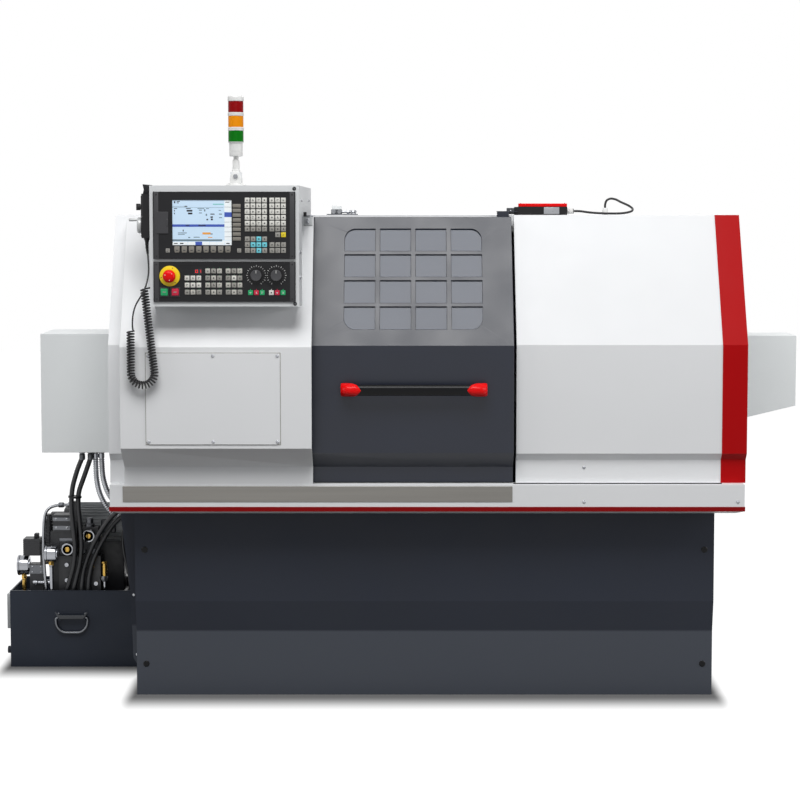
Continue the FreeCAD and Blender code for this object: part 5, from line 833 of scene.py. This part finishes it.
def make_pendant():
    wheel = Build("pendant_hand_wheel", "light_metal", "pendant_wheel", body="handwheel")
    y, z = -585, 1467
    wheel.turned((-855.3, y, z), RIGHT, [(15, 4), (17.6, 3.2), (18.6, 1.2), (20.4, 0), (22.8, 0.5), (24, 2.6),
        (24, 11.6), (22.8, 14), (20, 15)], SILVER_WHITE, 72)
    wheel.lathe((-855.3, y, z), RIGHT, [(0, 2.2), (7.4, 2.4), (8.4, 4.4), (0, 4.4)], SILVER, 36)
    for first, end in ((0, 15), (18, 14.2)):
        wheel.ticks((-851.9, y, z), "X", range(first, 360, 36), (-0.2, -0.4, 11.5), (0.35, 0.4, end), MARK)
    wheel.turned((-851.5, y, z + 16), LEFT, [(3.4, 0), (3.2, 4), (3.6, 8), (4.6, 13), (5, 22), (4.9, 27), (4.2,
        29.2), (2.4, 29.8)], SILVER_WHITE, 28)
    wheel.done(34)
    knob = Build("pendant_selector", "black_plastic", "pendant_knob", body="selector")
    z = 1521
    knob.lathe((-855.3, y, z), RIGHT, [(0, 0), (6.4, 0), (7, 0.8), (7, 10.5), (9.8, 11.8), (10, 14.8), (0, 15)],
        BLACK, 96, 0.03, 16)
    knob.box((-859.2, y - 2.4, z - 9.8), (-846.5, y + 2.4, z + 9.8), BLACK, 1.2, 3)
    knob.box((-859.4, y - 0.5, z + 2), (-858.9, y + 0.5, z + 9), MARK_LIGHT, 0)
    knob.done()
    shell = Build("pendant_grip", "black_plastic")
    shell.box((-841.2, -619, 1492), (-839.6, -551, 1554), BLACK, 0.6)
    shell.box((-840.9, -620, 1433), (-839.8, -550, 1490), RAIL, 0.4)
    shell.lathe((-840.3, y, 1467), LEFT, [(27.5, 0), (27.5, 0.5), (26.6, 0.8), (25, 0.8)], MARK_LIGHT, 60)
    shell.screws([-840.6], (-616, -554), (1436, 1550), LEFT, 2.2)
    shell.plate([(-813.5, 1560), (-836, 1560), (-833, 1572), (-836.5, 1588), (-813.5, 1586)], "Y", -613, -557,
        BLACK, 1.2)
    shell.done()


# ---- signal tower


def make_tower():
    x, y = -564, -560
    body = Build("tower_body", "light_metal", "tower_mast", body="tower")
    body.box((x - 10, y - 12.5, 1597), (x + 10, y + 12.5, 1628), LAMP_WHITE, 1.6, 3)
    neck = [(12.5, 0), (12.5, 5), (10.5, 7), (10.5, 33), (8.4, 35), (7.5, 36), (7.5, 45)]
    cup = [(17.5, 0), (19.4, 1), (20, 3), (20, 14), (19.2, 14.8), (20, 15.6), (20.2, 40), (23.4, 41.5), (23.6,
        43)]
    ring = [(23.2, 0), (24, 0.8), (24, 4.6), (23.2, 5.25), (24, 5.9), (24, 9.7), (23.2, 10.5)]
    for level, around, profile in ((1626, 36, neck), (1671, 48, cup), (1747, 56, ring), (1790.5, 56, ring)):
        body.turned((x, y, level), UP, profile, LAMP_WHITE, around)
    body.lathe((x, y, 1714), UP, [(6, 0), (6, 120), (0, 120)], LAMP_WHITE, 20)
    body.lathe((x, y, 1834), UP, [(0, 0), (23.2, 0), (24, 0.8), (24, 10), (23.4, 13), (21.4, 15.6), (18, 16.7),
        (0, 17)], LAMP_WHITE, 56)
    body.done(30)
    for (colour, material), base in zip(LENSES.items(), (1714, 1757.5, 1801)):
        lens = Build("lens_" + colour, colour + "_plastic", "tower_" + colour, body="tower")
        profile = [(20.2, 0), (22.4, 0), (22.4, 1.6)]
        for step in range(9):
            profile += [(22.9, 2.4 + step * 3.2), (22.5, 4 + step * 3.2)]
        profile += [(22.4, 31.6), (22.4, 33), (20.2, 33)]
        lens.lathe((x, y, base), UP, profile, material, 96, 0.006, 32)
        lens.turned((x, y, base + 3), UP, [(11, 0), (11, 27)], material, 24)
        lens.done(26)


# ---- hydraulic unit

COVER = 213
FLEX_TUBES = (
    ((-1079, -4, 722), (-1078.6, -4, 667), (-1076.5, -2, 614), (-1065, 6, 564), (-1041, 20, 519),
     (-1006.6, 34, 486), (-962, 45, 468), (-926, 50, 464), (-898, 50, 464)),
    ((-1059.5, -4, 722), (-1058.5, -4, 667), (-1055, -2, 625), (-1043.4, 6, 582), (-1021, 20, 542),
     (-993, 34, 509), (-955, 45, 491), (-926, 50, 487), (-898, 50, 487)),
)
PRESSURE_PIPE = (
    (-1172, 72, 528), (-1200, 72, 528), (-1225, 68, 527), (-1249, 58, 519), (-1260, 47, 495), (-1262, 38, 440),
    (-1261, 31, 380), (-1258, 26, 326), (-1254, 23.5, 279), (-1252, 23, 244), (-1252, 23, COVER),
)


def ferrule(build, at, way, radius=10.2, length=30, material=DARK_STEEL):
    """A hose end: a crimped sleeve with its union nut against the housing."""
    build.nut(at, way, radius * 1.06, 9, STEEL)
    profile = [(0, 9), (radius * 0.7, 9), (radius * 0.7, 11), (radius * 0.94, 12)]
    for step in range(4):
        profile += [(radius, 13.4 + step * 4), (radius * 0.93, 15.4 + step * 4)]
    profile += [(radius * 0.96, length - 1), (radius * 0.82, length)]
    build.lathe(at, way, profile, material, 28)


def make_hose_ends():
    ends = Build("hose_ends", "valve_metal")
    for x, y in ((-1183, 13), (-1161, 13), (-1133, 13), (-1111, 15)):
        ferrule(ends, (x, y, COVER), UP)
    for x, y in ((-975, 42), (-949, 49)):
        ferrule(ends, (x, y, COVER), UP, 7.4, 26, STEEL)
    for x, y in ((-1120, -22), (-1094, -14)):
        ferrule(ends, (x, y, 722), DOWN)
    for y, z in ((-2, 545), (16, 520)):
        ends.lathe((-898.6, y, z), LEFT, [(10, 0), (14, 0), (14, 3), (12.4, 5), (9.6, 6.5)], BLACK, 28)
    for x, y in ((-925, 80), (-911, 100)):
        ends.lathe((x, y, 590), DOWN, [(5, 0), (8.4, 0), (8.4, 9), (6.4, 12), (5, 12.6)], DARK_STEEL, 20)
    ends.lathe((-1146, -20, 566), (0.06, 0, 1), [(12, 0), (22, 0), (22, 6), (12, 6)], BLACK, 24)
    ends.done()


def make_flex_tubes():
    flex = Build("metal_flex_tubes", "bright_metal", "metal_conduits")
    for route in FLEX_TUBES:
        line = evenly(smooth_line(route, 12), 1.25)
        flex.pipe(line, lambda run: 8.5 + 0.95 * sin(2 * pi * run / 7.5), FLEX, 20)
        x, y, z = route[0]
        flex.nut((x, y, z + 1), DOWN, 9.7, 13, CHROME)
        flex.lathe((x, y, z - 12), DOWN, [(0, 0), (9.8, 0), (9.8, 10), (9.6, 13), (9, 13.5)], CHROME, 28)
        flex.lathe(route[-1], LEFT, [(0, 0), (11.2, 0), (11.2, 12), (9.4, 14)], CHROME, 28)
    flex.pipe(smooth_line(PRESSURE_PIPE, 10), 5, STEEL, 20)
    flex.nut((-1172, 72, 528), LEFT, 10.4, 13, STEEL)
    flex.nut((-1198, 72, 528), LEFT, 9.4, 18, DARK_STEEL)
    flex.nut((-1252, 23, COVER), UP, 10, 12, STEEL)
    flex.done(40)


def make_gauges():
    gauges = Build("gauge_pair", "bright_metal", "pressure_gauges")
    for x, y, z, size in ((-1352, 68, 326, 34), (-1250, 8, 375, 29)):
        gauges.lathe((x, y, z), RIGHT, [(0, 2.6), (size - 4.6, 2.6)], GAUGE_FACE, 48)
        gauges.lathe((x, y, z), RIGHT, [(size - 4.8, 3), (size - 3.6, 0.4), (size - 1.4, 0), (size, 1.4), (size,
            6.4), (size - 1.6, 8), (size - 1.8, 34), (size - 3.2, 37), (size * 0.6, 38), (size * 0.6, 40), (0,
            40)], CHROME, 64)
        angles = [22.5 * step for step in range(-6, 7)]
        gauges.ticks((x + 2.4, y, z), "X", angles, (-0.2, -0.5, size - 10), (0.1, 0.5, size - 6.4), MARK)
        gauges.ticks((x + 2, y, z), "X", [-110], (-0.3, -0.7, -6), (0.3, 0.7, size - 9), RED)
        gauges.turned((x + 1.2, y, z), RIGHT, [(2.6, 0), (2.6, 1.6)], MARK, 16)
        stem, top = x + 19, z - size - 222
        gauges.nut((stem, y, top + COVER), UP, 9.2, 12, BRASS)
        gauges.turned((stem, y, COVER), UP, [(9, 0), (9, 7), (6.6, 10), (6.6, top - 6), (8.2, top - 4), (8.2,
            top)], BRASS if size > 30 else CHROME, 24)
    gauges.done(34)


def make_valves():
    valve = Build("valve_details", "valve_metal")
    for at in ((-1181, 28, 386), (-1110, 30, 430)):
        valve.lathe(at, FRONT, [(20.2, -1), (20.6, 2), (19.2, 3.4), (15.6, 3.6), (14.8, 1.4), (14.6, 0)], CHROME,
            48)
        valve.lathe(at, FRONT, [(14.8, 0.4), (9, 0.4), (0, 0.4)], MARK, 36)
        valve.nut((at[0], at[1] - 0.3, at[2]), FRONT, 8.6, 4.6, BRASS)
    for x, z in ((-1184, 282), (-1131, 282), (-1184, 334), (-1131, 334), (-1087, 271), (-1099, 325)):
        valve.lathe((x, 29, z), FRONT, [(7.4, -5), (7.4, 2.2), (6.6, 3), (3.4, 3), (3.2, 0.8), (0, 0.8)], CHROME,
            28)
    for step in range(8):
        valve.box((-1331, 40.5, 365 + step * 6.6), (-1274, 97.5, 368.4 + step * 6.6), CASTING, 0.7)
    valve.box((-1296, 52, 417.5), (-1282, 78, 434), BLACK, 2)
    valve.box((-1310, 44, 300), (-1264, 47, 330), DARK_STEEL)
    valve.screws((-1302, -1272), [44], (306, 324), FRONT, 3.2)
    for step in range(7):
        valve.lathe((-1252, 70, 404 + step * 11), UP, [(13, 0), (15.6, 1.4), (15.6, 6.6), (13, 8)], CASTING, 32)
    valve.nut((-1252, 70, 480), UP, 15.4, 15, DARK_STEEL)
    for left, y, low, high in ((-1210, 45, 372, 386), (-1210, 45, 408, 420), (-1231, 43, 448, 462), (-1231, 43,
            478, 490)):
        right = -1152 if left == -1210 else -1172
        valve.box((left, y, low), (right, y + 2.5, high), DARK_STEEL, 1.2)
    valve.screws((-1200, -1163), [44], [379], FRONT, 4.4)
    valve.screws((-1220, -1184), [44], (455, 485), FRONT, 4.4)
    valve.nut((-1128, 48, 376), FRONT, 9, 6, CHROME)
    valve.nut((-1096, 48, 376), FRONT, 9, 6, DARK_STEEL)
    valve.turned((-1113, 73, 455), UP, [(16, 0), (16, 8), (12, 12), (12, 26), (9, 30)], DARK_STEEL, 32)
    valve.lathe((-1057, 22, COVER), UP, [(0, 0), (7, 0), (7, 18), (5.4, 20), (5.4, 69)], CHROME, 20)
    valve.nut((-1057, 22, 280), UP, 10.6, 18, DARK_STEEL)
    valve.turned((-1057, 22, 298), UP, [(7, 0), (8, 4), (8, 36), (6.4, 40), (6.4, 45)], BRASS, 24)
    valve.nut((-1057, 22, 340), UP, 9, 7, BRASS)
    valve.pipe([(-1057, 22, 288), (-1065, 24, 288), (-1071, 32, 288), (-1073, 44, 288)], 5, STEEL)
    valve.turned((-1298, 42, 272), RIGHT, [(9, 0), (9, 14), (6.5, 16), (6.5, 44), (9, 46), (9, 60)], CHROME, 28)
    valve.done(36)


def make_motor():
    motor = Build("pump_motor_shell", "pump_grey", "oil_pump_unit")
    y, z = 172, 452
    motor.turned((-1190, y, z), RIGHT, [(66, 0), (70, 3), (70, 10), (65.5, 12), (65.5, 193), (70, 195), (70, 202),
        (66, 205)], MOTOR_GREY, 96)
    motor.ticks((0, y, z), "X", range(0, 360, 10), (-1177.5, -0.9, 64.5), (-998.5, 0.9, 69.8), MOTOR_GREY, 0.4, 1)
    motor.turned((-985, y, z), RIGHT, [(64, 0), (64, 20), (60, 24)], PUMP, 64)
    motor.ticks((0, y, z), "X", range(0, 360, 15), (-961.4, -1.6, 18), (-960.6, 1.6, 52), MARK)
    motor.turned((-1212, y, z), RIGHT, [(50, 0), (56, 4), (56, 22)], CASTING, 56)
    motor.turned((-1260, y, z), RIGHT, [(34, 0), (38, 4), (38, 48)], CASTING, 48)
    motor.box((-1175, 127, COVER), (-1000, 217, 226), CASTING, 2)
    motor.box((-1166, 136, 226), (-1009, 208, 404), CASTING, 4)
    motor.box((-1252, 160, COVER), (-1228, 184, 422), CASTING, 3)
    motor.box((-1080, 97, 430), (-1030, 107, 474), PUMP, 4, 3)
    motor.turned((-950, 190, COVER), UP, [(32, 0), (32, 3), (29, 5), (29, 17), (26, 20)], BLACK, 72, 0.012, 24)
    motor.done(34)


def make_tank_fittings():
    tank = Build("tank_fittings", "tank_dark")
    tank.box((-1386.5, 42, 117), (-1366, 94, 233), MOTOR_GREY, 1.6, 3)
    tank.box((-1387.3, 61, 137), (-1386, 75, 213), GAUGE_FACE, 0.6)
    # The sight glass takes the amber lens finish: its colour stays, but its slight glow is painted light, as the
    # sight glass is no lamp.
    tank.box((-1387.7, 65.5, 140), (-1387.1, 70.5, 178), LENSES["amber"], 0.2)
    for z in (126, 224):
        tank.nut((-1386.5, 68, z), LEFT, 8, 2.5, CHROME)
    tank.turned((-1366, 60, 42), LEFT, [(13.4, 0), (13.4, 4), (12, 5), (12, 20), (10.6, 22)], BLACK, 32)
    tank.box((-1366.6, -10.8, 253), (-898.5, -4, 255), TANK, 0.4)
    tank.screws((-1205, -1118), [-13], [178], FRONT, 3.4, DARK_STEEL)
    tank.turned((-1345, 30, COVER), UP, [(11, 0), (11, 6)], CHROME, 24)
    tank.box((-1330, 20, COVER), (-1240, 34, 217), STEEL, 1)
    tank.plate([(-1216, 186), (-1208, 172), (-1200, 163), (-1123, 163), (-1115, 172), (-1107, 186), (-1112, 186),
        (-1120, 176), (-1203, 176), (-1211, 186)], "Y", -28.5, -25.5, PUMP)
    tank.done()


# ---- roof fittings and interlock


def make_roof_fittings():
    bits = Build("roof_fittings", "valve_metal")
    bits.box((-306, -270, 1496), (-208, -236, 1499), DARK_STEEL, 0.6)
    bits.box((-289, -268, 1513), (-260, -240, 1525.5), BOX_GREY, 1.4)
    for x in (-284, -266):
        bits.turned((x, -266, 1506), FRONT, [(7.4, -20), (7.4, 0), (6.2, 1.6), (2.6, 1.6), (2.4, 0.6)], STEEL, 28)
    bits.box((-292, -264, 1499), (-258, -244, 1513.5), DARK_STEEL, 1.2)
    bits.turned((-258, -256, 1505), RIGHT, [(3.4, 0), (3.4, 42)], STEEL, 20)
    bits.nut((-243, -256, 1505), RIGHT, 8.4, 9, STEEL)
    for left, low, right, high in ((-231.5, 1499, -226, 1511.5), (-219, 1499, -213.5, 1511.5), (-231.5, 1497,
            -213.5, 1501)):
        bits.box((left, -264, low), (right, -248, high), STEEL, 1)
    bits.turned((-233, -256, 1507), RIGHT, [(2.4, 0), (2.4, 21)], CHROME, 16)
    bits.done()
    rail = Build("rail_end", "valve_metal")
    # The front leans back by 190 in 392.
    turn = spin((0, -413, 1477), -degrees(atan2(190, 392)), "X")
    rail.box((-369, -5.5, -16), (-343, 0.8, 16), MOTOR_GREY, 1, turn=turn)
    rail.box((-371, -6.6, 13.5), (-342, 0.8, 18), DARK_STEEL, 0.6, turn=turn)
    rail.box((-366, -7.2, -11), (-352, -5, 9), SILVER, 1.4, 3, turn)
    rail.screw(turn @ Vector((-359, -7.2, 4)), turn.to_3x3() @ Vector(FRONT), 3.2)
    rail.done()
    cover = Build("interlock_cover", "red_plastic")
    cover.box((293.4, -297.6, 1521.1), (444.6, -264.4, 1531.8), RED_GLOSS, 1.8, 3)
    cover.box((372, -300.7, 1499), (420, -299.8, 1520), SILVER, 0.3)
    cover.screws((300, 438), [-281], [1531.8], UP, 2.8)
    cover.nut((445.2, -281, 1508), RIGHT, 11, 8, LAMP_WHITE)
    cover.lathe((453, -281, 1508), RIGHT, [(9.6, 0), (9.6, 8), (7.4, 12), (4.2, 14)], LAMP_WHITE, 28)
    cover.nut((573, -200, 1496.3), UP, 11, 8, LAMP_WHITE)
    cover.lathe((573, -200, 1504), UP, [(9.4, 0), (9.4, 8), (7.2, 12), (4.2, 14)], LAMP_WHITE, 28)
    cover.done()
    block = Build("tongue_block", "valve_metal", body="door")
    block.box((257, -299, 1498), (280.5, -273, 1518), PUMP, 1.2)
    block.screw((269, -299, 1508), FRONT, 3)
    block.done()


# ---- back of the machine


def make_back():
    cabinet = Build("cabinet_louvres", "cover_grey", body="rear_door")
    for left in (-330, 110):
        for z in range(800, 998, 22):
            outline = [(693, z), (693, z + 14), (698.6, z + 2.5), (698.6, z)]
            cabinet.plate(outline, "X", left, left + 200, BOX_GREY, 0.5)
    cabinet.lathe((420, 701.2, 1080), BACK, [(13.4, -8), (13.4, -0.4), (11.6, 0.2), (5, 0.2), (4.6, -1.4), (0,
        -1.4)], CHROME, 36)
    cabinet.done()
    details = Build("back_details", "cover_grey")
    details.screws((-700, 700), [480.2], [712], BACK, 5)
    details.screws((-700, -200, 300, 700), [480.2], [1466], BACK, 5)
    for x in (-340, -280, -220, -160):
        details.nut((x, 580, 720), DOWN, 15, 10, BLACK)
        details.turned((x, 580, 710), DOWN, [(12, 0), (12, 9), (8, 15)], BLACK, 28)
    for x in (-400, 400):
        details.lathe((x, 585, 1440), UP, [(0, 0), (13, 0), (13, 4), (8, 6), (8, 10)], STEEL, 28)
        eye = [(x + 15 * c, 585, 1464 + 15 * s) for c, s in circle(40)]
        details.pipe(eye + eye[:1], 4.4, STEEL, 14)
    for x, way in ((-960.2, LEFT), (978.2, RIGHT)):
        details.screws([x], (-250, 60, 400), (710, 1462), way, 5)
    details.done()


for make in (make_camera, make_stage, make_lamps, make_cord, dress_nodes, make_handle, make_keys, make_display,
        make_buttons, make_box_fittings, make_pendant, make_tower, make_hose_ends, make_flex_tubes, make_gauges,
        make_valves, make_motor, make_tank_fittings, make_roof_fittings, make_back):
    make()
